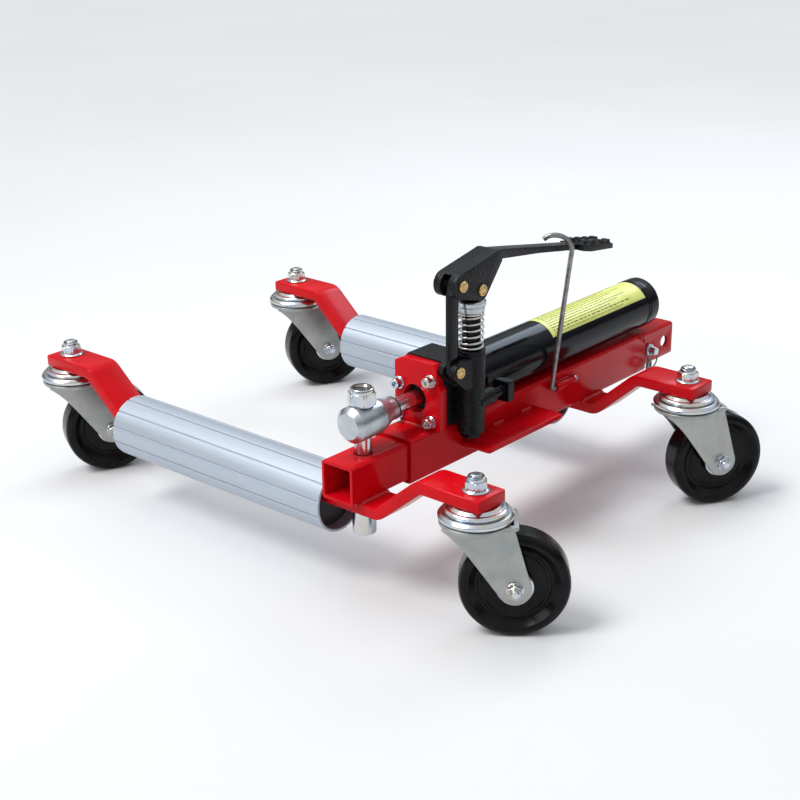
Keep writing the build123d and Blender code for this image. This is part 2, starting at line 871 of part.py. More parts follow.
def make_pedal():
    """Cast foot lever: two cheeks round the link and the plunger, a sloping arm and a studded tread."""
    head_x, head_z = link_head
    pin_x, pin_z = plunger_pin
    crown_x = near_x + 149.0
    crown_z = 304.0
    slope = 0.183
    arm_half = 7.0
    tread_half = 14.0
    tread_start = near_x + 280.0
    tread_end = near_x + 337.0
    tread_mid = (tread_start + tread_end) / 2
    arm_end = tread_end - 8.0
    stud_size = 7.5
    stud_height = 4.5
    head_radius = 12.0
    pin_boss_radius = 10.0
    slot_end = pin_x + 13.0

    def top_at(x):
        return crown_z - slope * (x - crown_x)

    with BuildPart() as pedal:
        with BuildSketch(across(pump_y + pedal_width / 2)):
            with Locations(link_head):
                Circle(head_radius)
            with Locations(plunger_pin):
                Circle(pin_boss_radius)
            with BuildLine():
                Polyline(
                    (head_x, head_z),
                    (head_x - 4, head_z + 11),
                    (crown_x - 5, crown_z + 1),
                    (crown_x, crown_z),
                    (crown_x + 1, crown_z - 10),
                    (pin_x + 6, pin_z - 5),
                    close=True,
                )
            make_face()
            make_hull()
        extrude(amount=pedal_width)
        with BuildSketch(across(pump_y + arm_half)):
            with BuildLine():
                Polyline(
                    (crown_x - 14, crown_z - 3),
                    (crown_x, crown_z),
                    (arm_end, top_at(arm_end)),
                    (arm_end, top_at(arm_end) - 5),
                    (near_x + 215, top_at(near_x + 215) - 6.5),
                    (crown_x + 1, crown_z - 10),
                    (crown_x - 14, crown_z - 14),
                    close=True,
                )
            make_face()
        extrude(amount=2 * arm_half)
        with BuildSketch(across(pump_y + tread_half)):
            with BuildLine():
                Polyline(
                    (tread_start, top_at(tread_start)),
                    (tread_end, top_at(tread_end)),
                    (tread_end, top_at(tread_end) - 4.5),
                    (tread_start + 14, top_at(tread_start + 14) - 7),
                    (tread_start, top_at(tread_start) - 6),
                    close=True,
                )
            make_face()
        extrude(amount=2 * tread_half)
        upright = pedal.edges().filter_by(Axis.Z).group_by(Axis.X)
        chamfer(upright[-1], 4)
        tilt = Plane(
            origin=(tread_mid, pump_y, top_at(tread_mid)),
            x_dir=(1, 0, -slope),
            z_dir=(slope, 0, 1),
        )
        with BuildSketch(tilt.offset(-0.5)):
            with GridLocations(13.5, 15, 4, 2):
                Rectangle(stud_size, stud_size)
        extrude(amount=stud_height, taper=8)
        with BuildSketch(across(pump_y + pedal_slot / 2)):
            with BuildLine():
                Polyline(
                    (head_x - 20, head_z - 30),
                    (head_x - 20, head_z + 14),
                    (head_x + 2, head_z + 9),
                    (slot_end, pin_z + 17),
                    (slot_end, pin_z - 30),
                    close=True,
                )
            make_face()
        extrude(amount=pedal_slot, mode=Mode.SUBTRACT)
        with BuildSketch(across(pump_y + pedal_width / 2 + 1)):
            with Locations(link_head, plunger_pin):
                Circle(pin_radius + fit_gap)
        extrude(amount=pedal_width + 2, mode=Mode.SUBTRACT)
    save(pedal.part, "pedal")


def make_plunger():
    """Pump plunger: a round rod in the barrel with a flat tang for the pedal's rivet."""
    shoulder = 262.0
    tang_thick = 7.0
    tang_width = 13.0
    tang_round = 7.5
    pin_play = 0.6
    pin_x, pin_z = plunger_pin
    with BuildPart() as plunger:
        with BuildSketch(Plane.XY.offset(plunger_bottom)):
            with Locations((pump_x, pump_y)):
                Circle(plunger_radius)
        extrude(amount=shoulder - plunger_bottom)
        with BuildSketch(across(pump_y + tang_thick / 2)):
            with Locations(plunger_pin):
                Circle(tang_round)
            with Locations((pin_x, (shoulder + pin_z) / 2)):
                Rectangle(tang_width, pin_z - shoulder)
            with Locations(plunger_pin):
                Circle(pin_radius + pin_play, mode=Mode.SUBTRACT)
        extrude(amount=tang_thick)
    save(plunger.part, "plunger")


def make_spring_cap():
    cap_top = 261.5
    bore_x = pump_x + plunger_radius + fit_gap
    skirt_x = pump_x + 12.8
    brim_x = pump_x + 14.0
    with BuildPart() as cap:
        with BuildSketch(across(pump_y)):
            with BuildLine():
                Polyline(
                    (bore_x, spring_top),
                    (bore_x, cap_top),
                    (brim_x - 1.5, cap_top),
                    (brim_x, cap_top - 1.5),
                    (brim_x, cap_top - 5),
                    (skirt_x, cap_top - 6.5),
                    (skirt_x, spring_top),
                    close=True,
                )
            make_face()
        revolve(axis=Axis((pump_x, pump_y, 0), (0, 0, 1)))
    save(cap.part, "spring_cap")


def make_return_spring():
    coil_radius = 11.3
    end_gap = 0.1
    coil_start = barrel_top + spring_wire + end_gap
    coil_height = spring_top - spring_wire - end_gap - coil_start
    with BuildPart() as spring:
        with BuildLine(Plane(origin=(pump_x, pump_y, coil_start), x_dir=(1, 0, 0), z_dir=(0, 0, 1))):
            coil = Helix(pitch=coil_pitch, height=coil_height, radius=coil_radius)
        with BuildSketch(Plane(origin=coil @ 0, z_dir=coil % 0)):
            Circle(spring_wire)
        sweep(path=coil, is_frenet=True)
    save(spring.part, "return_spring")


def make_release_knob():
    """Release valve: a spindle with a square knob, turned by hand or foot."""
    knob_start = near_x + 158.0
    knob_width = 19.0
    knob_height = 21.0
    knob_depth = 10.0
    knob_corner = 2.0
    with BuildPart() as knob:
        with BuildSketch(along(spindle_start)):
            with Locations((valve_y, valve_z)):
                Circle(spindle_radius)
        extrude(amount=knob_start - spindle_start)
        with BuildSketch(along(knob_start)):
            with Locations((valve_y, valve_z)):
                RectangleRounded(knob_width, knob_height, knob_corner)
        extrude(amount=knob_depth)
        chamfer(knob.faces().sort_by(Axis.X)[-1].edges(), knob_corner / 2)
    save(knob.part, "release_knob")


# ---------------------------------------------------------------- lock pin and hook


def make_lock_pin():
    """Plain pin across the inner tube, just past the outer tube's end, with a flange and a drilled stub."""
    flange = 5.0
    stub = 8.0
    stub_radius = 4.5
    stub_hole = 2.3
    tail = 9.0
    near_side = beam_y - inner_size / 2
    with BuildPart() as pin:
        with BuildSketch(across(near_side)):
            with Locations((lock_x, beam_z)):
                Circle(lock_head_radius)
        extrude(amount=flange)
        with BuildSketch(across(near_side - flange)):
            with Locations((lock_x, beam_z)):
                Circle(stub_radius)
        extrude(amount=stub)
        with BuildSketch(across(near_side)):
            with Locations((lock_x, beam_z)):
                Circle(lock_radius)
        extrude(amount=-(inner_size + tail))
        with BuildSketch(along(lock_x - lock_head_radius)):
            with Locations((near_side - flange - stub / 2, beam_z)):
                Circle(stub_hole)
        extrude(amount=2 * lock_head_radius, mode=Mode.SUBTRACT)
    save(pin.part, "lock_pin")


def make_lock_ring():
    """Split ring that hangs through the lock pin's drilled stub."""
    ring_radius = 10.0
    ring_wire = 0.9
    ring_y = beam_y - inner_size / 2 - 9.0
    ring_z = beam_z - 9.6
    with BuildPart() as ring:
        with BuildSketch(Plane(origin=(lock_x, ring_y, ring_z), x_dir=(1, 0, 0), z_dir=(0, 0, 1))):
            with Locations((ring_radius, 0)):
                Circle(ring_wire)
        revolve(axis=Axis((lock_x, ring_y, ring_z), (0, 1, 0)))
    save(ring.part, "lock_ring")


def make_hook_tube():
    """Short tube welded to the beam's side; the wire hook turns in it."""
    with BuildPart() as tube:
        with BuildSketch(along(hook_tube_start)):
            with Locations((hook_y, hook_z)):
                Circle(hook_tube_radius)
                Circle(hook_wire + fit_gap, mode=Mode.SUBTRACT)
        extrude(amount=hook_tube_length)
    save(tube.part, "hook_tube")


def make_wire_hook():
    """One bent rod: a pivot in the tube, a leaning leg and a round crook over the pedal's arm."""
    pivot_end = hook_tube_start + hook_tube_length + 4.0
    leg_foot_x = hook_tube_start - 7.0
    wire_bend = 6.0
    crook_bend = 15.8
    crook_corner = Vector(near_x + 253.7, beam_y - 57.8, 297.15)
    crook_run = 24.7
    tip_length = 6.3
    tip_drop = 42.0
    crook_heading = radians(126.3)
    crook_way = Vector(cos(crook_heading), sin(crook_heading), 0)
    tip_way = crook_way * cos(radians(tip_drop)) - Vector(0, 0, sin(radians(tip_drop)))
    crook_end = crook_corner + crook_way * crook_run
    tip = crook_end + tip_way * tip_length
    with BuildPart() as hook:
        with BuildLine() as route:
            FilletPolyline(
                (pivot_end, hook_y, hook_z),
                (leg_foot_x, hook_y, hook_z),
                crook_corner,
                crook_end,
                tip,
                radius=(wire_bend, crook_bend, crook_bend),
            )
        with BuildSketch(Plane(origin=route.line @ 0, z_dir=route.line % 0)):
            Circle(hook_wire)
        sweep(path=route.line)
    save(hook.part, "wire_hook")


def make_hook_cap():
    cap_radius = 4.4
    cap_length = 3.0
    with BuildPart() as cap:
        with BuildSketch(along(hook_tube_start + hook_tube_length + 0.5)):
            with Locations((hook_y, hook_z)):
                Circle(cap_radius)
                Circle(hook_wire + fit_gap, mode=Mode.SUBTRACT)
        extrude(amount=cap_length)
    save(cap.part, "hook_cap")


# ---------------------------------------------------------------- build everything

make_outer_tube()
make_inner_tube()
make_arm("near_arm", near_x, near_bar_top, True)
make_arm("far_arm", far_x, far_bar_top, False)
make_pin_boss()
make_roller("near_roller", near_x)
make_roller("far_roller", far_x)
make_bushes("near_bushes", near_x, near_bar_top)
make_bushes("far_bushes", far_x, far_bar_top)
for caster_name, caster_place in caster_places.items():
    make_raceway(caster_name, caster_place)
    make_kingpin(caster_name, caster_place)
    make_fork(caster_name, caster_place)
    make_wheel(caster_name, caster_place)
    make_axle(caster_name, caster_place)
make_bracket_plate()
make_ledge_plate()
make_mount_screws()
make_pump_block()
make_reservoir()
make_pressure_tube()
make_end_cap()
make_filler_plug()
make_label()
make_ram_eye()
make_seal_ring()
make_piston_rod()
make_ram_pin()
make_ram_pin_nut()
make_link_bar()
make_link_pin()
make_rivets("pedal_pins", [link_head, plunger_pin], pedal_width / 2)
make_pedal()
make_plunger()
make_spring_cap()
make_return_spring()
make_release_knob()
make_lock_pin()
make_lock_ring()
make_hook_tube()
make_wire_hook()
make_hook_cap()
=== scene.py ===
"""Looks of the hydraulic wheel dolly: painted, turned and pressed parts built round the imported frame.

Everything is in metres in the row frame: X along the beam, Y along the rollers, Z up. Profiles in
profile_mm() and lengths taken times 1000 are in millimetres. Each piece keeps its object at the origin
and its place in its mesh, so materials read the same coordinates everywhere.
"""
import json
from math import atan2, cos, pi, radians, sin, sqrt, tan

import bmesh
import bpy
from mathutils import Matrix, Vector
from mathutils.geometry import tessellate_polygon


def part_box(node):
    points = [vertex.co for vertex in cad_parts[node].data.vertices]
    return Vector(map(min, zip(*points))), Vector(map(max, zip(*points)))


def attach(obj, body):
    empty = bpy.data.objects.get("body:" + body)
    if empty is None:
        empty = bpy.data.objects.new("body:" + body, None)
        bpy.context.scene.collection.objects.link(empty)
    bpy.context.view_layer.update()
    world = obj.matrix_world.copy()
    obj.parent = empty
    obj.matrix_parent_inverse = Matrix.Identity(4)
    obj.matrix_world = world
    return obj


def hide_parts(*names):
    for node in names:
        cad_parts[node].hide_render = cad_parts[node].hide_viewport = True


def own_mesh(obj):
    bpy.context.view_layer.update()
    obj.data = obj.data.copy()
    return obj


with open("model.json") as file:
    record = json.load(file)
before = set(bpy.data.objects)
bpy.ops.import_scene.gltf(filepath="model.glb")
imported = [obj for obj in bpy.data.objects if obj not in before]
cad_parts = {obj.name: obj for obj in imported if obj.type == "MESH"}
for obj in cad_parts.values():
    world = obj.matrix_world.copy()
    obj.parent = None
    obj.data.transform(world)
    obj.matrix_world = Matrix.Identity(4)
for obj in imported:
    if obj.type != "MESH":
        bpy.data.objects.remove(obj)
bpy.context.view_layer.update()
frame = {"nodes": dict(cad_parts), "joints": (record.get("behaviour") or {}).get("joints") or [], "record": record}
scene = bpy.context.scene
joints = {joint["name"]: joint for joint in frame["joints"]}

CASTERS = ("near_pump", "far_pump", "near_outer", "far_outer")
X_DIR = Vector((1, 0, 0))
Y_DIR = Vector((0, 1, 0))
Z_DIR = Vector((0, 0, 1))


# ---------------------------------------------------------------- measures read from the frame


def middle(node):
    low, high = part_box(node)
    return (low + high) / 2


near_x = middle("near_arm").x
far_x = middle("far_arm").x
beam_y = middle("outer_tube").y
beam_z = middle("outer_tube").z
ram_z = middle("reservoir").z
pump_x = middle("spring_cap").x
pump_y = middle("spring_cap").y


# ---------------------------------------------------------------- materials


class Nodes:
    """A material's node tree, with short calls for the few node types used here."""

    def __init__(self, name, metallic=0.0, **sockets):
        self.material = bpy.data.materials.new(name)
        self.material.use_nodes = True
        self.tree = self.material.node_tree
        self.shader = self.tree.nodes["Principled BSDF"]
        self.shader.inputs["Metallic"].default_value = metallic
        for socket, value in sockets.items():
            self.shader.inputs[socket.replace("_", " ")].default_value = value
        self.position = self.add("ShaderNodeTexCoord").outputs["Object"]

    def add(self, kind, inputs=(), **settings):
        """New node. Each of its inputs is set to a value, or linked where another node's output is given."""
        node = self.tree.nodes.new(kind)
        for key, value in settings.items():
            setattr(node, key, value)
        for socket, value in dict(inputs).items():
            if isinstance(value, bpy.types.NodeSocket):
                self.tree.links.new(value, node.inputs[socket])
            else:
                node.inputs[socket].default_value = value
        return node

    def stretched(self, scale):
        return self.add("ShaderNodeMapping", {"Scale": scale, "Vector": self.position}).outputs["Vector"]

    def noise(self, scale, detail=3.0, rough=0.55, place=None):
        inputs = {"Scale": scale, "Detail": detail, "Roughness": rough, "Vector": place or self.position}
        return self.add("ShaderNodeTexNoise", inputs).outputs["Fac"]

    def cells(self, scale):
        inputs = {"Scale": scale, "Vector": self.position}
        return self.add("ShaderNodeTexVoronoi", inputs, feature="SMOOTH_F1").outputs["Distance"]

    def ramp(self, source, *stops):
        node = self.add("ShaderNodeValToRGB", {"Fac": source})
        elements = node.color_ramp.elements
        while len(elements) < len(stops):
            elements.new(0.5)
        for element, (place, value) in zip(elements, stops):
            element.position = place
            element.color = (*value, 1) if isinstance(value, tuple) else (value, value, value, 1)
        return node.outputs["Color"]

    def multiplied(self, first, second):
        inputs = {0: 1.0, 6: first, 7: second}
        return self.add("ShaderNodeMix", inputs, data_type="RGBA", blend_type="MULTIPLY").outputs[2]

    def color(self, source):
        self.tree.links.new(source, self.shader.inputs["Base Color"])

    def rough(self, source, low, high):
        node = self.add("ShaderNodeMapRange", {"To Min": low, "To Max": high, "Value": source})
        self.tree.links.new(node.outputs["Result"], self.shader.inputs["Roughness"])

    def bump(self, source, distance, strength=1.0):
        node = self.add("ShaderNodeBump", {"Distance": distance, "Strength": strength, "Height": source})
        current = self.shader.inputs["Normal"]
        if current.is_linked:
            self.tree.links.new(current.links[0].from_socket, node.inputs["Normal"])
        self.tree.links.new(node.outputs["Normal"], current)


def mottled(name, tone_noise, tones, gloss_noise, gloss, grain=(), metallic=0.0, **sockets):
    """Material whose colour drifts between tones, with an uneven gloss and fine grains.

    Each noise is (scale, detail), tones are (place, colour) stops, gloss is a lowest and highest
    roughness, and each grain is (scale, detail, bump height).
    """
    look = Nodes(name, metallic, **sockets)
    look.color(look.ramp(look.noise(*tone_noise), *tones))
    look.rough(look.noise(*gloss_noise), *gloss)
    for scale, detail, distance in grain:
        look.bump(look.noise(scale, detail), distance)
    return look.material


def roller_aluminium():
    """Drawn aluminium: fine streaks along the roller and a pale blue-grey tone."""
    look = Nodes("roller_aluminium", 0.55)
    streaks = look.noise(90, 4, 0.6, look.stretched((16, 0.2, 16)))
    look.color(look.ramp(streaks, (0.3, (0.41, 0.46, 0.53)), (0.7, (0.47, 0.52, 0.59))))
    look.rough(look.noise(80, 3, 0.6, look.stretched((10, 0.4, 10))), 0.36, 0.50)
    look.bump(streaks, 0.00002)
    return look.material


def zinc_sheet():
    """Passivated pressed steel: satin grey with a soft mottle and faint greenish and warm tints."""
    look = Nodes("zinc_sheet", 0.85)
    mottle = look.noise(70, 4, 0.6)
    tint = look.ramp(
        look.noise(26, 3), (0.3, (0.345, 0.375, 0.37)), (0.5, (0.41, 0.42, 0.405)), (0.7, (0.45, 0.45, 0.42))
    )
    grey = look.ramp(mottle, (0.3, 0.82), (0.7, 1.0))
    look.color(look.multiplied(tint, grey))
    look.rough(look.noise(240, 3), 0.30, 0.46)
    look.bump(look.noise(600, 3), 0.00004)
    return look.material


def chromed_rod():
    """Ground and chromed bar, with very fine rings round it."""
    look = Nodes("chromed_rod", 1.0)
    rings = look.noise(200, 2, 0.5, look.stretched((12, 0.6, 0.6)))
    look.rough(rings, 0.16, 0.28)
    look.color(look.ramp(rings, (0.3, (0.54, 0.58, 0.65)), (0.7, (0.66, 0.70, 0.75))))
    return look.material


def black_casting():
    """Cast iron under thin black paint: pebbled skin with a dull bloom."""
    look = Nodes("black_casting", Specular_IOR_Level=0.18)
    pebbles = look.cells(480)
    look.bump(pebbles, 0.00055, 0.9)
    look.bump(look.noise(1100, 3), 0.00018, 0.7)
    look.color(look.ramp(look.noise(320, 4), (0.3, (0.002, 0.0025, 0.003)), (0.72, (0.009, 0.010, 0.0115))))
    look.rough(look.noise(180, 3), 0.20, 0.42)
    return look.material


def plain_steel():
    """Honed steel, with scratches along its length."""
    look = Nodes("plain_steel", 1.0)
    scratches = look.noise(120, 4, 0.6, look.stretched((1, 6, 6)))
    look.color(look.ramp(scratches, (0.3, (0.36, 0.37, 0.38)), (0.7, (0.54, 0.55, 0.56))))
    look.rough(look.noise(300, 3), 0.25, 0.48)
    look.bump(scratches, 0.00003)
    return look.material


ALUMINIUM = roller_aluminium()
SHEET = zinc_sheet()
CHROME = chromed_rod()
CASTING = black_casting()
STEEL = plain_steel()
# Bright gloss enamel with a faint orange peel, and thinner, darker paint in broad patches
RED = mottled(
    "red_paint", (18, 4), ((0.25, (0.44, 0.0015, 0.005)), (0.75, (0.58, 0.0025, 0.008))),
    (90, 3), (0.16, 0.30), ((420, 2, 0.00005), (60, 2, 0.00012)), Specular_IOR_Level=0.09, Coat_Weight=0.08,
)
# The same enamel over a rough weld bead, with soot-dark specks between the ripples
WELD = mottled(
    "painted_weld", (900, 4), ((0.35, (0.22, 0.004, 0.006)), (0.55, (0.62, 0.008, 0.014))), (500, 3),
    (0.25, 0.55), ((700, 3, 0.0003),), Specular_IOR_Level=0.4, Coat_Weight=0.2,
)
# Bright zinc plating on turned parts, with the pale rainbow tint of a clear passivation
ZINC_TONES = (
    (0.30, (0.46, 0.53, 0.64)), (0.48, (0.60, 0.63, 0.66)),
    (0.60, (0.64, 0.61, 0.54)), (0.72, (0.60, 0.53, 0.60)),
)
ZINC = mottled("zinc_bright", (45, 2), ZINC_TONES, (300, 3), (0.13, 0.30), ((800, 2, 0.00002),), 1.0)
# Zinc-plated forging: duller than turned parts, with a fine grain
EYE = mottled(
    "satin_zinc", (60, 4), ((0.3, (0.42, 0.46, 0.49)), (0.7, (0.56, 0.60, 0.62))), (260, 3), (0.22, 0.38),
    ((900, 3, 0.00003),), 0.95,
)
# Drawn wire with a dull zinc skin
WIRE = mottled(
    "hook_wire_zinc", (140, 4), ((0.3, (0.17, 0.165, 0.16)), (0.7, (0.36, 0.36, 0.355))), (400, 3),
    (0.25, 0.45), ((900, 3, 0.00005),), 0.9,
)
# Smooth black enamel with a deep gloss
BLACK = mottled(
    "black_paint", (30, 3), ((0.3, (0.002, 0.0025, 0.004)), (0.7, (0.006, 0.007, 0.010))), (120, 3),
    (0.08, 0.20), ((260, 2, 0.00005),), Specular_IOR_Level=0.17,
)
# Moulded black wheels, glossy and lightly scuffed
WHEEL = mottled(
    "wheel_black", (55, 4), ((0.35, (0.0025, 0.0025, 0.003)), (0.8, (0.009, 0.009, 0.0095))), (160, 4),
    (0.13, 0.26), ((500, 3, 0.00005),), Specular_IOR_Level=0.15,
)
NYLON = mottled(
    "bush_nylon", (150, 3), ((0.3, (0.018, 0.018, 0.02)), (0.7, (0.04, 0.04, 0.042))), (300, 3), (0.45, 0.7),
    ((700, 3, 0.00008),),
)
# Yellow passivated rivets with a slightly worn crown
BRASS = mottled(
    "brass_pins", (400, 3), ((0.3, (0.50, 0.33, 0.13)), (0.7, (0.78, 0.58, 0.28))), (700, 3), (0.22, 0.42),
    ((900, 3, 0.00006),), 1.0,
)
# Matt yellow-green film, and the dark ink of its bars
FILM = mottled(
    "label_film", (60, 3), ((0.3, (0.60, 0.66, 0.14)), (0.7, (0.74, 0.76, 0.22))), (250, 2), (0.38, 0.52),
    Coat_Weight=0.3, Coat_Roughness=0.2,
)
INK = mottled(
    "label_ink", (900, 3), ((0.3, (0.05, 0.055, 0.02)), (0.7, (0.14, 0.15, 0.05))), (500, 2), (0.45, 0.6),
)
SEAL = mottled(
    "seal_rubber", (300, 3), ((0.3, (0.010, 0.010, 0.011)), (0.7, (0.024, 0.024, 0.025))), (500, 3),
    (0.5, 0.75), ((900, 3, 0.00005),),
)
SLOTS = {
    "red_paint": RED, "black_casting": CASTING, "black_paint": BLACK, "roller_aluminium": ALUMINIUM,
    "bush_nylon": NYLON, "wheel_black": WHEEL, "zinc_sheet": SHEET, "zinc_hardware": ZINC,
    "brass_pins": BRASS, "label_film": FILM, "seal_rubber": SEAL, "chromed_rod": CHROME,
    "plain_steel": STEEL,
}


# ---------------------------------------------------------------- mesh building


def place(origin, z_dir, x_dir=None):
    """Matrix whose axes are x_dir, its partner and z_dir, standing at origin."""
    z_axis = Vector(z_dir).normalized()
    hint = Vector(x_dir) if x_dir is not None else (X_DIR if abs(z_axis.x) < 0.9 else Y_DIR)
    x_axis = (hint - z_axis * hint.dot(z_axis)).normalized()
    y_axis = z_axis.cross(x_axis)
    return Matrix.Translation(Vector(origin)) @ Matrix((x_axis, y_axis, z_axis)).transposed().to_4x4()


def rounded(points, radius, steps=5, closed=False, share=0.49):
    """A polyline with its corners turned into arcs. radius is one number, or one for each point.

    An arc takes up no more than the given share of the line on either side of its corner.
    """
    points = [Vector(point) for point in points]
    radii = radius if hasattr(radius, "__len__") else [radius] * len(points)
    path = []
    for index, corner in enumerate(points):
        if not closed and index in (0, len(points) - 1):
            path.append(corner)
            continue
        before = points[index - 1] - corner
        after = points[(index + 1) % len(points)] - corner
        opening = before.angle(after)
        if radii[index] <= 0 or opening > pi - 0.001:
            path.append(corner)
            continue
        reach = min(radii[index] / tan(opening / 2), share * before.length, share * after.length)
        arc = reach * tan(opening / 2)
        centre = corner + (before.normalized() + after.normalized()).normalized() * (arc / sin(opening / 2))
        start = corner + before.normalized() * reach - centre
        end = corner + after.normalized() * reach - centre
        sweep = start.angle(end)
        for step in range(steps + 1):
            part = step / steps
            path.append(centre + (start * sin((1 - part) * sweep) + end * sin(part * sweep)) / sin(sweep))
    return path


def loft(rings, loop=False, caps=True):
    """Quads between rings of equal length. loop joins the last ring to the first, caps close the two ends."""
    count = len(rings[0])
    points = [point for ring in rings for point in ring]
    faces = []
    for row in range(len(rings) if loop else len(rings) - 1):
        here, there = row * count, (row + 1) % len(rings) * count
        for index in range(count):
            step = (index + 1) % count
            faces.append((here + index, here + step, there + step, there + index))
    if caps and not loop:
        faces.append(tuple(range(count)))
        faces.append(tuple(range((len(rings) - 1) * count, len(rings) * count)))
    return points, faces


def turned(profile, at, steps=72, shape=None, closed=False):
    """Surface of revolution of (radius, height) points. shape may change the radius by angle and height."""
    rings = []
    for radius, height in profile:
        ring = []
        for step in range(steps):
            angle = 2 * pi * step / steps
            reach = shape(radius, height, angle) if shape else radius
            ring.append(at @ Vector((reach * cos(angle), reach * sin(angle), height)))
        rings.append(ring)
    return loft(rings, loop=closed, caps=not closed)


def hexagon(flats):
    """Shape for turned(): no wider than a hexagon of that width across its flats."""

    def limit(radius, height, angle):
        return min(radius, flats / 2 / cos((angle + pi / 6) % (pi / 3) - pi / 6))

    return limit


def thread(radius, pitch, height_from, height_to, at, depth=0.0006):
    """Stud end with a real helical thread and a small chamfer."""
    rows = max(6, int((height_to - height_from) / pitch * 8))
    profile = []
    for row in range(rows + 1):
        height = height_from + (height_to - height_from) * row / rows
        profile.append((min(radius, radius - 0.001 + (height_to - height)), height))

    def groove(reach, height, angle):
        turn = (height / pitch - angle / (2 * pi)) % 1.0
        return reach - depth * abs(2 * turn - 1)

    return turned(profile, at, 48, groove)


def plate(outline, thickness, at, edge=0.0008, steps=3):
    """Flat plate with rounded edges from (x, y) points. It stands on at's XY plane and rises along its Z."""
    loop = [Vector(point).to_2d() for point in outline]
    if sum(a.x * b.y - b.x * a.y for a, b in zip(loop, loop[1:] + loop[:1])) < 0:
        loop.reverse()
    count = len(loop)

    def inset(distance):
        moved = []
        for index, point in enumerate(loop):
            back = (point - loop[index - 1]).normalized()
            ahead = (loop[(index + 1) % count] - point).normalized()
            normal = Vector((-back.y - ahead.y, back.x + ahead.x)).normalized()
            bend = max(0.5, normal.dot(Vector((-back.y, back.x))))
            moved.append(point + normal * distance / bend)
        return moved

    turn = [radians(90 * step / steps) for step in range(steps + 1)]
    levels = [(edge * (1 - sin(angle)), edge * (1 - cos(angle))) for angle in turn]
    levels += [(pull, thickness - height) for pull, height in reversed(levels)]
    rings = [[at @ Vector((p.x, p.y, height)) for p in inset(pull)] for pull, height in levels]
    points, faces = loft(rings, caps=False)
    inverse = at.inverted()
    for first in (0, len(points) - count):
        flat = [(inverse @ point).to_2d().to_3d() for point in points[first : first + count]]
        faces += [tuple(first + index for index in face) for face in tessellate_polygon([flat])]
    return points, faces


def tube_along(path, radius, steps=16, ends=True):
    """Round bar along a path. radius may be one number or one for each point."""
    radii = radius if hasattr(radius, "__len__") else [radius] * len(path)
    tangents = []
    for index in range(len(path)):
        before = path[max(index - 1, 0)]
        after = path[min(index + 1, len(path) - 1)]
        tangents.append((after - before).normalized())
    side = tangents[0].orthogonal().normalized()
    rings = []
    for point, tangent, reach in zip(path, tangents, radii):
        side = (side - tangent * side.dot(tangent)).normalized()
        other = tangent.cross(side)
        ring = []
        for step in range(steps):
            angle = 2 * pi * step / steps
            ring.append(point + (side * cos(angle) + other * sin(angle)) * reach)
        rings.append(ring)
    return loft(rings, caps=ends)


def bead(start, end, radius, pitch=0.0024):
    """Weld bead along a straight joint: overlapping ripples with slightly uneven size."""
    start, end = Vector(start), Vector(end)
    length = (end - start).length
    rows = max(8, int(length / pitch * 6))
    path, radii = [], []
    for row in range(rows + 1):
        share = row / rows
        travel = share * length
        ripple = 0.10 * abs(sin(pi * travel / pitch))
        wander = 0.08 * sin(travel * 410) + 0.05 * sin(travel * 957 + 1)
        taper = min(1.0, 0.35 + 9 * min(share, 1 - share))
        path.append(start.lerp(end, share))
        radii.append(radius * (0.92 + ripple + wander) * taper)
    return tube_along(path, radii, 10)


def round_bead(at, radius, height, size, swing, pace, steps):
    """Weld bead round a circle in at's XY plane; its size swings at a given pace."""
    path = []
    for step in range(steps + 1):
        angle = 2 * pi * step / steps
        path.append(at @ Vector((radius * cos(angle), radius * sin(angle), height)))
    swell = [size * (1 + swing * sin(step * pace)) for step in range(steps + 1)]
    return tube_along(path, swell, 8, ends=False)


slot_of = {row["node"]: row["material_slot"] for row in frame["record"]["subparts"]}
bodies = frame["record"]["behaviour"]["bodies"]
body_of = {node: body for body, members in bodies.items() for node in members}


def raised(at, height):
    """Frame at, moved along its own z axis."""
    return at @ Matrix.Translation((0, 0, height))


def finished(mesh, node, name, material, replaces=True, smooth=32):
    """Object made of a bmesh. It takes a CAD node's body and the given material, and may stand for the node."""
    for face in mesh.faces:
        face.smooth = True
    for edge in mesh.edges:
        edge.smooth = not (edge.is_manifold and edge.calc_face_angle(0) > radians(smooth))
    data = bpy.data.meshes.new(name)
    mesh.to_mesh(data)
    mesh.free()
    data.materials.append(material)
    made = bpy.data.objects.new(name, data)
    scene.collection.objects.link(made)
    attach(made, body_of[node])
    if replaces:
        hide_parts(node)
    return made


def part_of(node, name, parts, material, replaces=True, smooth=32):
    """Piece made of several (vertices, faces) parts, for a CAD node or as a detail on it."""
    mesh = bmesh.new()
    for points, faces in parts:
        made = [mesh.verts.new(point) for point in points]
        for face in faces:
            mesh.faces.new([made[index] for index in face])
    bmesh.ops.recalc_face_normals(mesh, faces=mesh.faces)
    return finished(mesh, node, name, material, replaces, smooth)


def rounded_copy(node, name, width, material, segments=2):
    """Piece with a CAD node's exact shape and its sharp edges rounded."""
    mesh = bmesh.new()
    mesh.from_mesh(frame["nodes"][node].data)
    bmesh.ops.remove_doubles(mesh, verts=mesh.verts, dist=0.000002)
    bmesh.ops.dissolve_limit(
        mesh, angle_limit=radians(0.4), verts=mesh.verts, edges=mesh.edges, use_dissolve_boundaries=False
    )
    sharp = [edge for edge in mesh.edges if edge.is_manifold and edge.calc_face_angle(0) > radians(28)]
    bmesh.ops.bevel(
        mesh, geom=sharp, offset=width, offset_type="OFFSET", segments=segments, profile=0.5,
        affect="EDGES", clamp_overlap=True,
    )
    bmesh.ops.triangulate(mesh, faces=[face for face in mesh.faces if len(face.verts) > 4])
    return finished(mesh, node, name, material)


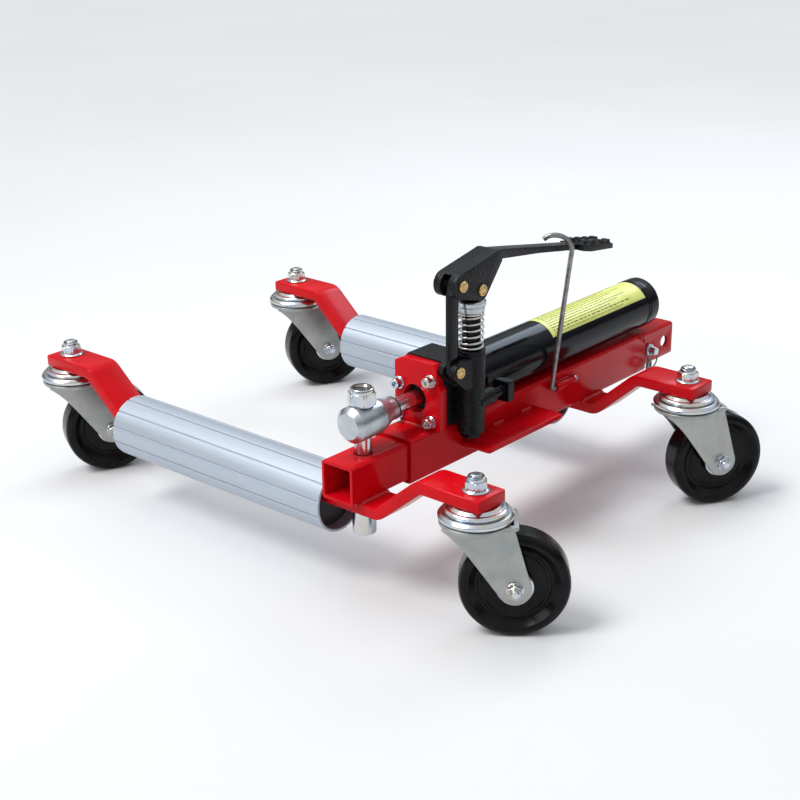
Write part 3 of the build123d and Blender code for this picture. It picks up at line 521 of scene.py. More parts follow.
def profile_mm(points, radius=0.0, steps=3, closed=False):
    """Profile for turned() from (radius, height) corners in millimetres, with its corners rounded."""
    radii = [value / 1000 for value in radius] if hasattr(radius, "__len__") else radius / 1000
    path = rounded([(r / 1000, h / 1000) for r, h in points], radii, steps, closed)
    return [(point.x, point.y) for point in path]


# ---------------------------------------------------------------- casters

NUT_STEPS = 72


def lock_nut(at, flats, height, collar_radius, collar_height, bore):
    """Nylon-insert lock nut on at's XY plane: chamfered hexagon and rounded collar; insert_ring() makes its dark
    insert ring apart.
    """
    corner = flats / sqrt(3)
    seat = corner - 0.0011
    body = [
        (bore, 0.0), (seat, 0.0), (corner, 0.0007), (corner, height - 0.0007), (seat, height),
        (collar_radius + 0.0004, height), (collar_radius, height + 0.0005),
        (collar_radius, height + collar_height - 0.0018),
        (collar_radius - 0.0005, height + collar_height - 0.0006),
        (collar_radius - 0.0014, height + collar_height), (bore + 0.0008, height + collar_height),
        (bore, height + collar_height - 0.0008),
    ]
    return turned(body, at, NUT_STEPS, hexagon(flats), closed=True)


def insert_ring(at, height, bore, width):
    ring = [(bore, height), (bore + width, height), (bore + width, height + 0.0004), (bore, height + 0.0004)]
    return turned(ring, at, 48, closed=True)


def washer(at, inner, outer, thick, edge=0.0004):
    ring = [
        (inner, 0.0), (outer - edge, 0.0), (outer, edge), (outer, thick - edge), (outer - edge, thick),
        (inner, thick),
    ]
    return turned(ring, at, 64, closed=True)


class CasterPlaces:
    """Where one caster stands, read from its joints and boxes."""

    def __init__(self, name):
        swivel = Vector(joints[f"swivel_{name}"]["pos_m"])
        spin = joints[f"wheel_spin_{name}"]
        self.hub = Vector(spin["pos_m"])
        self.axle_dir = Vector(spin["axis"])
        ahead = Vector((self.hub.x - swivel.x, self.hub.y - swivel.y, 0))
        self.trail = ahead.length
        self.upright = place((swivel.x, swivel.y, 0), Z_DIR, ahead)
        self.axle = place(self.hub, self.axle_dir, ahead)
        self.fork_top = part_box(f"fork_{name}")[1].z
        self.race_low, self.race_high = (corner.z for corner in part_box(f"raceway_{name}"))
        self.pin_low, self.pin_high = (corner.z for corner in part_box(f"kingpin_{name}"))


FORK_INSIDE = 0.0175
FORK_SHEET = 0.003
NECK_STEPS = 14


def fork_leg(spot, side):
    """One leg in the wheel's plane: nose under the raceway, hollow neck, straight edges and a round foot."""
    foot = 0.015
    nose = Vector((-0.0302, spot.fork_top - 0.0036))
    neck = Vector((-0.0106, 0.0880))
    rear = Vector((0.0335, spot.fork_top - 0.002))
    centre = Vector((spot.trail, spot.hub.z))
    to_neck = neck - centre
    front_angle = atan2(to_neck.y, to_neck.x) + _tangent_turn(foot, to_neck.length)
    to_rear = rear - centre
    rear_angle = atan2(to_rear.y, to_rear.x) - _tangent_turn(foot, to_rear.length)
    front_foot = centre + Vector((cos(front_angle), sin(front_angle))) * foot
    sweep_start = neck.lerp(front_foot, 0.16)
    controls = (sweep_start, neck, Vector((-0.0205, spot.fork_top - 0.0105)), nose)
    outline = [front_foot]
    for step in range(NECK_STEPS + 1):
        share = step / NECK_STEPS
        weights = ((1 - share) ** 3, 3 * share * (1 - share) ** 2, 3 * share ** 2 * (1 - share), share ** 3)
        outline.append(sum((point * weight for point, weight in zip(controls, weights)), Vector((0, 0))))
    rear_foot = centre + Vector((cos(rear_angle), sin(rear_angle))) * foot
    top_edge = [outline[-1], Vector((nose.x, spot.fork_top - 0.002)), rear, rear_foot]
    outline += rounded(top_edge, [0, 0, 0.003, 0], 6)[1:]
    arc_steps = 22
    sweep = (front_angle - rear_angle) % (2 * pi) - 2 * pi
    for step in range(1, arc_steps):
        angle = rear_angle + sweep * step / arc_steps
        outline.append(centre + Vector((cos(angle), sin(angle))) * foot)
    inner = FORK_INSIDE if side > 0 else -FORK_INSIDE - FORK_SHEET
    flat = spot.upright @ Matrix.Translation((0, inner + FORK_SHEET, 0)) @ Matrix.Rotation(pi / 2, 4, "X")
    return plate(outline, FORK_SHEET, flat, 0.0007)


def _tangent_turn(radius, distance):
    """Angle between the line to a point and the radius that touches a circle seen from it."""
    return pi / 2 - atan2(radius, sqrt(distance * distance - radius * radius))


def fork_crown(spot):
    """Bent shoulders that join the legs to the top plate, as one channel along the trail."""
    half = FORK_INSIDE + FORK_SHEET - 0.00006
    top = spot.fork_top - 0.0001
    skirt = top - 0.013
    outer = [(-half, skirt), (-half, top), (half, top), (half, skirt)]
    inner = [
        (half - FORK_SHEET, skirt), (half - FORK_SHEET, top - 0.004), (-half + FORK_SHEET, top - 0.004),
        (-half + FORK_SHEET, skirt),
    ]
    section = rounded(outer + inner, [0, 0.0052, 0.0052, 0, 0, 0.0016, 0.0016, 0], 6, closed=True)
    rings = []
    for x in (-0.0135, 0.0330):
        rings.append([spot.upright @ Vector((x, point.x, point.y)) for point in section])
    return loft(rings)


BOLT_FLATS = 0.013
BOLT_BORE = 0.0042
KINGPIN_BORE = 0.0062


def make_caster(name):
    """Fork, raceway, kingpin with its lock nut, wheel and axle bolt of one caster."""
    spot = CasterPlaces(name)
    up = spot.upright
    plate_thick = 0.004
    seat_at = raised(up, spot.fork_top - plate_thick)
    shoulder = FORK_INSIDE + FORK_SHEET
    seat = [Vector((0.033 * cos(a), 0.033 * sin(a))) for a in (2 * pi * step / 72 for step in range(72))]
    tail = rounded(
        [(0.010, -shoulder), (0.0375, -shoulder), (0.0375, shoulder), (0.010, shoulder)], [0, 0.004, 0.004, 0]
    )
    fork_parts = [
        plate(seat, plate_thick, seat_at, 0.0010),
        plate(tail, plate_thick, raised(seat_at, -0.0001), 0.0009), fork_crown(spot),
        fork_leg(spot, 1), fork_leg(spot, -1),
    ]
    part_of(f"fork_{name}", f"fork_pressed_{name}", fork_parts, SHEET)

    low, high = 1000 * spot.race_low, 1000 * spot.race_high
    race = profile_mm(
        [
            (6.1, low), (31.8, low), (34.0, low + 1.9), (34.0, low + 4.4), (31.4, low + 7.0),
            (27.2, low + 7.0), (26.6, low + 7.9), (28.5, low + 8.3), (28.5, low + 10.2),
            (26.6, low + 11.2), (24.4, low + 11.4), (21.4, high), (6.1, high),
        ],
        [0, 1.2, 1.2, 1.2, 1.2, 0.3, 0.2, 0.5, 0.8, 0.8, 0.8, 0.5, 0],
        4,
        closed=True,
    )
    part_of(f"raceway_{name}", f"raceway_turned_{name}", [turned(race, up, 96, closed=True)], ZINC)

    pad = spot.race_high + 0.012
    nut_seat = pad + 0.0025
    nut_height = 0.0078
    collar = 0.0042
    flange = profile_mm(
        [(6.1, 0), (12.3, 0), (12.3, 1.3), (10.4, 2.5), (6.1, 2.5)], [0, 0.3, 0.5, 0.8, 0], 3, closed=True
    )
    nut_at = raised(up, nut_seat)
    stack = [
        turned(flange, raised(up, pad), 72, closed=True),
        lock_nut(nut_at, 0.019, nut_height, 0.0081, collar, KINGPIN_BORE),
        thread(0.006, 0.00175, nut_seat + nut_height - 0.002, spot.pin_high, up),
        turned([(0.006, spot.race_low - 0.001), (0.006, nut_seat + nut_height)], up, 32),
        turned(
            profile_mm([(0.01, 0), (7, 0), (10, 1.8), (10, 4), (0.01, 4)], [0, 2, 0.5, 0.3, 0], 4),
            raised(up, spot.pin_low), 48,
        ),
    ]
    part_of(f"kingpin_{name}", f"kingpin_nut_{name}", stack, ZINC)
    insert = insert_ring(nut_at, nut_height + collar - 0.0003, KINGPIN_BORE, 0.0010)
    part_of(f"kingpin_{name}", f"kingpin_insert_{name}", [insert], SEAL, False)

    wheel_radius = 1000 * spot.hub.z
    face = [
        (4.1, 0), (4.1, 16.6), (9.6, 16.6), (10.6, 15.0), (12.6, 9.6), (15.0, 8.4), (29.2, 8.0),
        (30.6, 9.0), (32.4, 9.0), (33.6, 8.2), (35.4, 8.8), (39.8, 13.2), (41.4, 14.9), (44.6, 15.0),
        (48.4, 13.2), (wheel_radius, 9.8),
    ]
    radii = [0, 0, 0.6, 0.6, 1.5, 1.5, 0.7, 0.7, 0.7, 0.7, 1.4, 1.6, 1.2, 1.8, 3.0, 2.0]
    mirrored = [(r, -h) for r, h in reversed(face[1:])]
    ring = profile_mm(
        face[1:] + [(wheel_radius, 0.25), (wheel_radius, -0.25)] + mirrored,
        radii[1:] + [0, 0] + radii[:0:-1], 4, closed=True,
    )
    part_of(f"wheel_{name}", f"wheel_moulded_{name}", [turned(ring, spot.axle, 128, closed=True)], WHEEL)
    outer_edge = [(4.15, 16.9), (15.8, 16.9), (17.0, 15.9), (17.0, 13.0)]
    inner_edge = [(16.4, 13.0), (16.2, 15.6), (15.2, 16.2), (4.15, 16.2)]
    shield = profile_mm(outer_edge + inner_edge, [0, 0.8, 0.6, 0.2, 0.2, 0.4, 0.4, 0], 3, closed=True)
    shields = []
    for side in (1, -1):
        shields.append(turned([(r, side * h) for r, h in shield], spot.axle, 64, closed=True))
    part_of(f"wheel_{name}", f"hub_shield_{name}", shields, ZINC, False)

    outside = FORK_INSIDE + FORK_SHEET
    head_at = raised(spot.axle, -outside) @ Matrix.Rotation(pi, 4, "X")
    nut_at = raised(spot.axle, outside)
    corner = BOLT_FLATS / sqrt(3)
    head_edge = [(corner - 0.0008, 0.0), (corner, 0.0005), (corner, 0.0048), (corner - 0.0009, 0.0053)]
    head = [(0.0, 0.0), *head_edge, (0.0, 0.0053)]
    bolt = [
        turned(head, head_at, NUT_STEPS, hexagon(BOLT_FLATS)), washer(head_at, BOLT_BORE, 0.0082, 0.0010),
        turned([(0.004, -outside - 0.001), (0.004, outside + 0.004)], spot.axle, 32),
        washer(nut_at, BOLT_BORE, 0.0080, 0.0012),
        lock_nut(raised(nut_at, 0.0012), BOLT_FLATS, 0.0048, 0.0056, 0.0012, BOLT_BORE),
        thread(0.004, 0.00125, outside + 0.003, outside + 0.0099, spot.axle, 0.0004),
    ]
    part_of(f"axle_{name}", f"axle_bolt_{name}", bolt, ZINC)


for caster in CASTERS:
    make_caster(caster)


# ---------------------------------------------------------------- lifting arms and rollers

BAR_WIDTH = 0.038
BAR_THICK = 0.012
BAR_EDGE = 0.0014
BEND = 0.015
PUMP_PAD = 0.069
OUTER_PAD = 0.068
SLOPE = 0.050


def make_arm(node):
    """Flat bar bent four times, with rounded long edges and softened ends."""
    low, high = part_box(node)
    x = (low.x + high.x) / 2
    pad = high.z - BAR_THICK / 2
    run = low.z + BAR_THICK / 2
    corners = [
        (low.y, pad), (low.y + PUMP_PAD, pad), (low.y + PUMP_PAD + SLOPE, run),
        (high.y - OUTER_PAD - SLOPE, run), (high.y - OUTER_PAD, pad), (high.y, pad),
    ]
    path = rounded(corners, BEND, 12)
    half_x, half_n = BAR_WIDTH / 2, BAR_THICK / 2
    square = [(-half_x, -half_n), (half_x, -half_n), (half_x, half_n), (-half_x, half_n)]
    section = rounded(square, BAR_EDGE, 4, closed=True)
    softened = ((0.0, 0.0012), (0.0004, 0.0004), (0.0013, 0.0))
    stations = [(path[0] + Vector((step, 0)), shrink) for step, shrink in softened]
    stations += [(point, 0.0) for point in path[1:-1]]
    stations += [(path[-1] - Vector((step, 0)), shrink) for step, shrink in reversed(softened)]
    rings = []
    for index, (point, shrink) in enumerate(stations):
        before = stations[max(index - 1, 0)][0]
        after = stations[min(index + 1, len(stations) - 1)][0]
        ahead = (after - before).normalized()
        normal = Vector((-ahead.y, ahead.x))
        ring = []
        for corner in section:
            across = corner.x * (1 - shrink / half_x)
            lift = corner.y * (1 - shrink / half_n)
            ring.append(Vector((x + across, point.x + normal.x * lift, point.y + normal.y * lift)))
        rings.append(ring)
    part_of(node, f"{node}_bar", [loft(rings)], RED)


GROOVES = 12
GROOVE_WIDTH = 0.0013
GROOVE_DEPTH = 0.0012
GROOVE_SIDE = ((0.8, 1), (0.95, 0.35), (1.3, 0.10), (2.0, 0))
GROOVE_SHAPE = tuple((-offset, depth) for offset, depth in reversed(GROOVE_SIDE)) + GROOVE_SIDE
WALL = 0.0028


def make_roller(node):
    """Extruded tube with narrow grooves along it and deburred ends."""
    low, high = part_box(node)
    x, _, z = middle(node)
    radius = (high.x - low.x) / 2
    stops = []
    half = GROOVE_WIDTH / 2 / radius
    pitch = 2 * pi / GROOVES
    for groove in range(GROOVES):
        centre = radians(15) + groove * pitch
        for offset, depth in GROOVE_SHAPE:
            stops.append((centre + offset * half, depth * GROOVE_DEPTH))
        flat = GROOVE_SHAPE[-1][0] * half
        for step in range(1, 9):
            stops.append((centre + flat + (pitch - 2 * flat) * step / 9, 0))
    rings = []
    stations = [
        (low.y, 0.0007, False), (low.y + 0.0006, 0.0, False), (low.y + 0.002, 0.0, False),
        (high.y - 0.002, 0.0, False), (high.y - 0.0006, 0.0, False), (high.y, 0.0007, False),
        (high.y, WALL - 0.0005, True), (high.y - 0.0005, WALL, True), (low.y + 0.0005, WALL, True),
        (low.y, WALL - 0.0005, True),
    ]
    for y, shrink, inner in stations:
        ring = []
        for angle, depth in stops:
            reach = radius - shrink - (0 if inner else depth)
            ring.append(Vector((x + reach * cos(angle), y, z + reach * sin(angle))))
        rings.append(ring)
    part_of(node, f"{node}_extrusion", [loft(rings, loop=True)], ALUMINIUM, smooth=40)


for end in ("near", "far"):
    make_arm(f"{end}_arm")
    make_roller(f"{end}_roller")
    rounded_copy(f"{end}_bushes", f"{end}_bushes_moulded", 0.0006, NYLON)


# ---------------------------------------------------------------- beam, bracket and welds

INNER_HALF = 0.019
OUTER_HALF = 0.0225

rounded_copy("outer_tube", "outer_tube_drawn", 0.0005, RED)
rounded_copy("inner_tube", "inner_tube_drawn", 0.0005, RED)
rounded_copy("bracket_plate", "bracket_plate_cut", 0.0009, RED, 3)
rounded_copy("ledge_plate", "ledge_plate_cut", 0.0009, RED, 3)
rounded_copy("hook_tube", "hook_tube_cut", 0.0004, RED)
rounded_copy("pin_boss", "pin_boss_turned", 0.0004, ZINC)


def make_inner_seam():
    """Weld seam left inside the drawn tube, seen through its open end."""
    low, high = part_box("inner_tube")
    wall = beam_y + INNER_HALF - 0.0031
    stations = (low.x + 0.001, low.x + 0.06, high.x - 0.06, high.x - 0.001)
    path = [Vector((x, wall, beam_z - 0.004)) for x in stations]
    part_of("inner_tube", "inner_tube_seam", [tube_along(path, 0.0009, 8)], RED, False)


def make_welds():
    """Beads where the arms, bracket, ledge and hook tube meet the beam."""
    half = BAR_WIDTH / 2
    drop = 0.0006
    near = ((-1, False), (1, False), (-1, True))
    far = ((-1, False), (-1, True), (1, False), (1, True))
    arms = (("near_arm", near_x, INNER_HALF, 0.0006, near), ("far_arm", far_x, OUTER_HALF, 0.0004, far))
    for arm, x_mid, beam_half, proud, places in arms:
        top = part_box(arm)[0].z + BAR_THICK
        beads = []
        for side, across in places:
            if across:
                x, z, reach = x_mid + side * (half + drop), top - drop, beam_half - 0.003
                beads.append(bead((x, beam_y - reach, z), (x, beam_y + reach, z), 0.0024))
            else:
                y = beam_y + side * (beam_half + proud)
                beads.append(bead((x_mid - half, y, top), (x_mid + half, y, top), 0.0027))
        part_of(arm, f"{arm}_welds", beads, WELD, False, 60)

    low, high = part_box("bracket_plate")
    foot = low.z + 0.0004
    front = [bead((low.x, beam_y - OUTER_HALF + 0.004, foot), (low.x, high.y - 0.008, foot), 0.0021)]
    part_of("bracket_plate", "bracket_welds", front, WELD, False, 60)

    low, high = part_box("ledge_plate")
    stitches = []
    for share in (0.06, 0.42, 0.80):
        x = low.x + share * (high.x - low.x)
        start = Vector((x, high.y - 0.0003, high.z))
        stitches.append(bead(start, start + Vector((0.017, 0, 0)), 0.0018))
    part_of("ledge_plate", "ledge_welds", stitches, WELD, False, 60)

    low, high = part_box("hook_tube")
    line = (low.y + high.y) / 2 + 0.0030
    lengths = []
    for z in (low.z + 0.0012, high.z - 0.0012):
        lengths.append(bead((low.x + 0.003, line, z), (high.x - 0.003, line, z), 0.0015))
    part_of("hook_tube", "hook_tube_welds", lengths, WELD, False, 60)

    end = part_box("outer_tube")[1]
    side_y = beam_y - OUTER_HALF + 0.0002
    tacks = [
        bead((end.x - 0.013, side_y, end.z - 0.0035), (end.x - 0.001, side_y, end.z - 0.0045), 0.0017),
        bead((end.x - 0.004, side_y, end.z - 0.0020), (end.x - 0.003, side_y, end.z - 0.0120), 0.0013),
    ]
    part_of("outer_tube", "tube_end_tacks", tacks, WELD, False, 60)


def make_boss_weld():
    """Bead round the boss, under the near arm."""
    low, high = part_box("pin_boss")
    centre = middle("pin_boss")
    at = place((centre.x, centre.y, high.z), Z_DIR)
    weld = round_bead(at, (high.x - low.x) / 2 + 0.0004, -0.0004, 0.0018, 0.12, 2.1, 60)
    part_of("pin_boss", "pin_boss_weld", [weld], WELD, False, 60)


make_inner_seam()
make_welds()
make_boss_weld()


# ---------------------------------------------------------------- ram and reservoir


def along_x(x, y, z, toward=1):
    """Frame at a point whose z axis points along the beam."""
    return place((x, y, z), X_DIR * toward, Y_DIR)


def make_ram():
    rounded_copy("ram_eye", "ram_eye_turned", 0.0008, EYE, 3)
    low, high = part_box("ram_pin")
    centre = middle("ram_pin")
    radius = 1000 * (high.x - low.x) / 2
    shank = profile_mm([(0.01, 0), (radius - 1, 0), (radius, 1), (radius, 1000 * (high.z - low.z) - 6)], 0.3)
    pin = [
        turned(shank, place((centre.x, centre.y, low.z), Z_DIR), 64),
        thread(radius / 1000, 0.002, high.z - 0.008, high.z, place((centre.x, centre.y, 0), Z_DIR), 0.0008),
    ]
    part_of("ram_pin", "ram_pin_turned", pin, ZINC)
    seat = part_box("ram_pin_nut")[0].z
    nut_at = place((centre.x, centre.y, seat), Z_DIR, (1, 0.5, 0))
    part_of("ram_pin_nut", "ram_pin_lock_nut", [lock_nut(nut_at, 0.024, 0.012, 0.0114, 0.0045, 0.0082)], ZINC)
    insert = insert_ring(nut_at, 0.0162, 0.0082, 0.0014)
    part_of("ram_pin_nut", "ram_pin_nut_insert", [insert], SEAL, False)

    rod = [(0.00001, 0), (0.0075, 0), (0.008, 0.0005), (0.008, 0.25)]
    piston = [(0.008, 0.25), (0.0152, 0.25), (0.01595, 0.2508), (0.01595, 0.2652), (0.0152, 0.266)]
    piston.append((0.00001, 0.266))
    at = along_x(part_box("piston_rod")[0].x, beam_y, ram_z)
    part_of("piston_rod", "piston_rod_ground", [turned(rod + piston, at, 72)], CHROME)
    ring = profile_mm([(8.1, 0), (11.2, 0), (11.2, 2.2), (8.1, 2.2)], [0, 0.7, 0.7, 0], 4, closed=True)
    at = along_x(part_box("seal_ring")[0].x, beam_y, ram_z)
    part_of("seal_ring", "seal_ring_moulded", [turned(ring, at, 72, closed=True)], SEAL)


def make_reservoir():
    low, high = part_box("reservoir")
    length = high.x - low.x
    radius = 0.027
    shell = [
        (radius - 0.0025, 0), (radius, 0), (radius, 0.012), (radius, length / 2),
        (radius, length - 0.0005), (radius - 0.0006, length), (radius - 0.0025, length),
    ]
    at = along_x(low.x, beam_y, ram_z)
    part_of("reservoir", "reservoir_tube", [turned(shell, at, 128, closed=True)], BLACK)
    weld = round_bead(at, radius + 0.0001, 0.0012, 0.0009, 0.10, 1.9, 96)
    part_of("reservoir", "reservoir_weld", [weld], BLACK, False, 60)

    cap_low, cap_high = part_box("end_cap")
    lip = 1000 * (high.x - cap_low.x)
    depth = 1000 * (cap_high.x - cap_low.x)
    cap = profile_mm(
        [
            (4.05, depth - 6), (4.05, depth), (9, depth), (10, depth - 0.8), (21.5, depth - 0.8),
            (22.5, depth), (27.6, depth), (27.6, lip + 4.2), (27.0, lip + 3.6), (27.0, lip + 2.8),
            (27.6, lip + 2.2), (27.6, lip), (24.4, lip), (24.4, 0), (4.05, 0),
        ],
        [0, 0.3, 0.3, 0.3, 0.3, 0.3, 3.4, 0.2, 0.2, 0.2, 0.2, 0.5, 0, 0.4, 0],
        5,
        closed=True,
    )
    at = along_x(cap_low.x, beam_y, ram_z)
    part_of("end_cap", "end_cap_turned", [turned(cap, at, 128, closed=True)], BLACK)

    plug_low, plug_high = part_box("filler_plug")
    head = 1000 * (plug_high.x - plug_low.x)
    stem = [(0.01, 0), (3.9, 0), (3.9, head - 2.5)]
    button = [(6.5, head - 2.5), (6.5, head), (3.4, head), (2.4, head - 1.6), (0.01, head - 1.6)]
    plug = profile_mm(stem + button, [0, 0.5, 0, 0.3, 0.7, 0.2, 0, 0])
    part_of("filler_plug", "filler_plug_turned", [turned(plug, along_x(plug_low.x, beam_y, ram_z), 48)], SEAL)


def make_label():
    """Blank film over the tube's upper side, with rows of plain bars where print would be."""
    low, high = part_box("label")
    radius = 0.027
    front, back = radians(148), radians(66)

    def sheet(x_from, x_to, start, end, inside, outside, steps):
        rings = []
        for x in (x_from, x_to):
            ring = []
            for step in range(steps + 1):
                angle = start + (end - start) * step / steps
                ring.append(Vector((x, beam_y + outside * cos(angle), ram_z + outside * sin(angle))))
            for step in range(steps, -1, -1):
                angle = start + (end - start) * step / steps
                ring.append(Vector((x, beam_y + inside * cos(angle), ram_z + inside * sin(angle))))
            rings.append(ring)
        return loft(rings)

    film = [sheet(low.x, high.x, back, front, radius + 0.00003, radius + 0.00022, 28)]
    part_of("label", "label_blank", film, FILM)
    bars = []
    margin = 0.006
    rows = 11
    for row in range(rows):
        angle = back + (front - back) * (0.08 + 0.84 * row / (rows - 1))
        bold = row in (0, rows - 2)
        half = radians(1.3 if bold else 0.85)
        gap = 0.0022 if bold else 0.0011
        x = low.x + margin
        word = 0
        limit = high.x - margin - 0.055 * abs(sin(2.1 * row + 0.3))
        while x < limit:
            length = 0.0025 + 0.0050 * abs(sin(2.3 * word + 1.7 * row + 0.4))
            stop = min(x + length, limit)
            bars.append(sheet(x, stop, angle - half, angle + half, radius + 0.00022, radius + 0.00028, 2))
            x = stop + gap
            word += 1
    edge = radians(2.4)
    for angle in (back + edge, front - edge):
        sides = (angle - radians(0.25), angle + radians(0.25))
        bars.append(sheet(low.x + 0.002, high.x - 0.002, *sides, radius + 0.00022, radius + 0.00027, 1))
    part_of("label", "label_bars", bars, INK, False)


# Offset of each screw from the beam's middle, and its height
SCREW_PLACES = ((-0.020, 0.187), (-0.020, 0.1455), (0.019, 0.177), (0.019, 0.147))
SCREW_SOCKET = 0.005


def screw_shape(radius, height, angle):
    """Knurled side and hexagon socket of a cap screw's head."""
    if radius > 0.0047 and 0.0008 < height < 0.0056:
        return radius - 0.00012 * (1 + cos(32 * angle))
    if radius < 0.0030:
        return hexagon(SCREW_SOCKET)(radius, height, angle)
    return radius


def make_mount_screws():
    """Socket-head cap screws with plain washers."""
    low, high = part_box("mount_screws")
    head = 0.0065
    washer_thick = 0.0016
    seat = low.x + head + washer_thick
    corner = SCREW_SOCKET / sqrt(3)
    profile = [
        (0.0047, 0.0), (0.0050, 0.0003), (0.0050, 0.0009), (0.0050, 0.0055), (0.0049, 0.0060),
        (0.0045, 0.0065), (0.0033, 0.0065), (corner, 0.0062), (corner, 0.0031), (0.0001, 0.0026),
    ]
    parts = []
    for side, z in SCREW_PLACES:
        y = beam_y + side
        parts.append(turned(profile, along_x(seat - washer_thick, y, z, -1), 128, screw_shape))
        parts.append(washer(along_x(seat, y, z, -1), 0.0031, 0.0064, washer_thick))
        parts.append(turned([(0.003, 0), (0.003, high.x - seat)], along_x(seat, y, z), 24))
    part_of("mount_screws", "mount_screws_socket", parts, ZINC)


make_ram()
make_reservoir()
make_label()
make_mount_screws()
rounded_copy("pressure_tube", "pressure_tube_honed", 0.0003, STEEL)


# ---------------------------------------------------------------- foot pump


def across_y(x, y, z, toward=-1):
    """Frame at a point whose z axis points across the beam, by default to the operator."""
    return place((x, y, z), Y_DIR * toward, X_DIR)


def rivet_head(x, y, z, toward):
    """Domed rivet head with a turned ring and a small centre mark."""
    rim = [(5.6, 0), (5.6, 1.4), (5.0, 2.3), (4.0, 2.3)]
    dish = [(3.6, 1.5), (3.1, 1.5), (2.6, 2.2), (1.2, 2.5), (0.01, 2.5)]
    profile = profile_mm(rim + dish, [0, 0.4, 0.5, 0.2, 0.1, 0.1, 0.3, 0.5, 0])
    return turned(profile, across_y(x, y, z, toward), 48)


RIVET_HEAD = 0.0056
RIVET_RADIUS = 0.004
RIVET_GRIP = 0.0025


def rivet_shank(x, y, z, length):
    return turned([(RIVET_RADIUS, 0), (RIVET_RADIUS, length)], across_y(x, y, z), 32)


def make_pins():
    """Two rivets through the pedal's cheeks and one at the foot of the link."""
    low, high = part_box("pedal_pins")
    near_side, far_side = low.y + RIVET_GRIP, high.y - RIVET_GRIP
    parts = []
    for x, z in ((low.x + RIVET_HEAD, high.z - RIVET_HEAD), (high.x - RIVET_HEAD, low.z + RIVET_HEAD)):
        parts.append(rivet_shank(x, far_side, z, high.y - low.y - 2 * RIVET_GRIP))
        parts.append(rivet_head(x, near_side, z, -1))
        parts.append(rivet_head(x, far_side, z, 1))
    part_of("pedal_pins", "pedal_rivets", parts, BRASS)
    low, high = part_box("link_pin")
    x, _, z = middle("link_pin")
    pin = [rivet_shank(x, high.y, z, high.y - low.y - RIVET_GRIP), rivet_head(x, low.y + RIVET_GRIP, z, -1)]
    part_of("link_pin", "link_rivet", pin, BRASS)


def make_link_bar():
    low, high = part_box("link_bar")
    half = (high.x - low.x) / 2
    x = low.x + half
    bottom, top = low.z + half, high.z - half
    outline = []
    for centre_z, start in ((top, 0), (bottom, pi)):
        for step in range(25):
            angle = start + pi * step / 24
            outline.append(Vector((half * cos(angle), centre_z + half * sin(angle))))
    at = place((x, high.y, 0), -Y_DIR, X_DIR)
    part_of("link_bar", "link_bar_cut", [plate(outline, high.y - low.y, at, 0.0011)], BLACK)


def make_spring():
    """Compression spring with closed, ground end turns, between the barrel and the cap."""
    low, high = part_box("return_spring")
    wire = 0.0011
    radius = 0.0113
    start, end = low.z + wire, high.z - wire
    turns = 6.75
    closed = 0.9
    steps = int(turns * 36)
    path = []
    for step in range(steps + 1):
        turn = turns * step / steps
        active = min(max(turn - closed, 0), turns - 2 * closed) / (turns - 2 * closed)
        ends = min(turn, closed) + max(turn - (turns - closed), 0)
        rise = 2 * wire * 0.95
        height = start + rise * ends + (end - start - 2 * closed * rise) * active
        angle = 2 * pi * turn
        path.append(Vector((pump_x + radius * cos(angle), pump_y + radius * sin(angle), height)))
    spring = part_of("return_spring", "return_spring_wound", [tube_along(path, wire, 12)], ZINC)
    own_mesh(spring)


def make_spring_cap():
    low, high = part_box("spring_cap")
    height = 1000 * (high.z - low.z)
    ring = profile_mm(
        [
            (9.1, 0), (12.6, 0), (12.8, height - 6.5), (14.0, height - 5.2), (14.0, height - 1.4),
            (12.6, height), (10.6, height), (10.2, height - 0.7), (9.1, height - 0.7),
        ],
        [0, 0.6, 0.5, 0.6, 0.8, 0.8, 0.2, 0.2, 0],
        4,
        closed=True,
    )
    at = place((pump_x, pump_y, low.z), Z_DIR)
    part_of("spring_cap", "spring_cap_turned", [turned(ring, at, 96, closed=True)], EYE)


def make_block_details():
    """Gland ring on the barrel and a hexagon plug under it."""
    at = place((pump_x, pump_y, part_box("pump_block")[1].z), Z_DIR)
    collar = [(13.4, -9), (13.9, -8.4), (13.9, -4.2), (13.4, -3.6)]
    rim = [(13.4, -2.8), (13.8, -2.2), (13.8, -0.4), (13.2, 0.02), (9.2, 0.02), (9.2, -9)]
    gland = profile_mm(collar + rim, [0, 0.2, 0.2, 0.1, 0.1, 0.2, 0.4, 0.3, 0.2, 0], 3, closed=True)
    part_of("pump_block", "barrel_gland", [turned(gland, at, 96, closed=True)], BLACK, False)
    barrel_low = 0.130
    flats = 0.019
    corner = flats / sqrt(3)
    plug = [
        (0.0001, 0.0), (corner - 0.0010, 0.0), (corner, 0.0006), (corner, 0.0052), (corner, 0.0058),
        (0.0001, 0.0058),
    ]
    plug_at = place((pump_x, pump_y, barrel_low - 0.0056), Z_DIR)
    part_of("pump_block", "barrel_plug", [turned(plug, plug_at, NUT_STEPS, hexagon(flats))], BLACK, False)


rounded_copy("pump_block", "pump_block_cast", 0.0009, CASTING, 3)
rounded_copy("pedal", "pedal_cast", 0.0009, CASTING, 3)
rounded_copy("plunger", "plunger_ground", 0.0004, BLACK)
rounded_copy("release_knob", "release_knob_moulded", 0.0008, BLACK, 3)
make_pins()
make_link_bar()
make_spring()
make_spring_cap()
make_block_details()


# ---------------------------------------------------------------- lock pin and wire hook


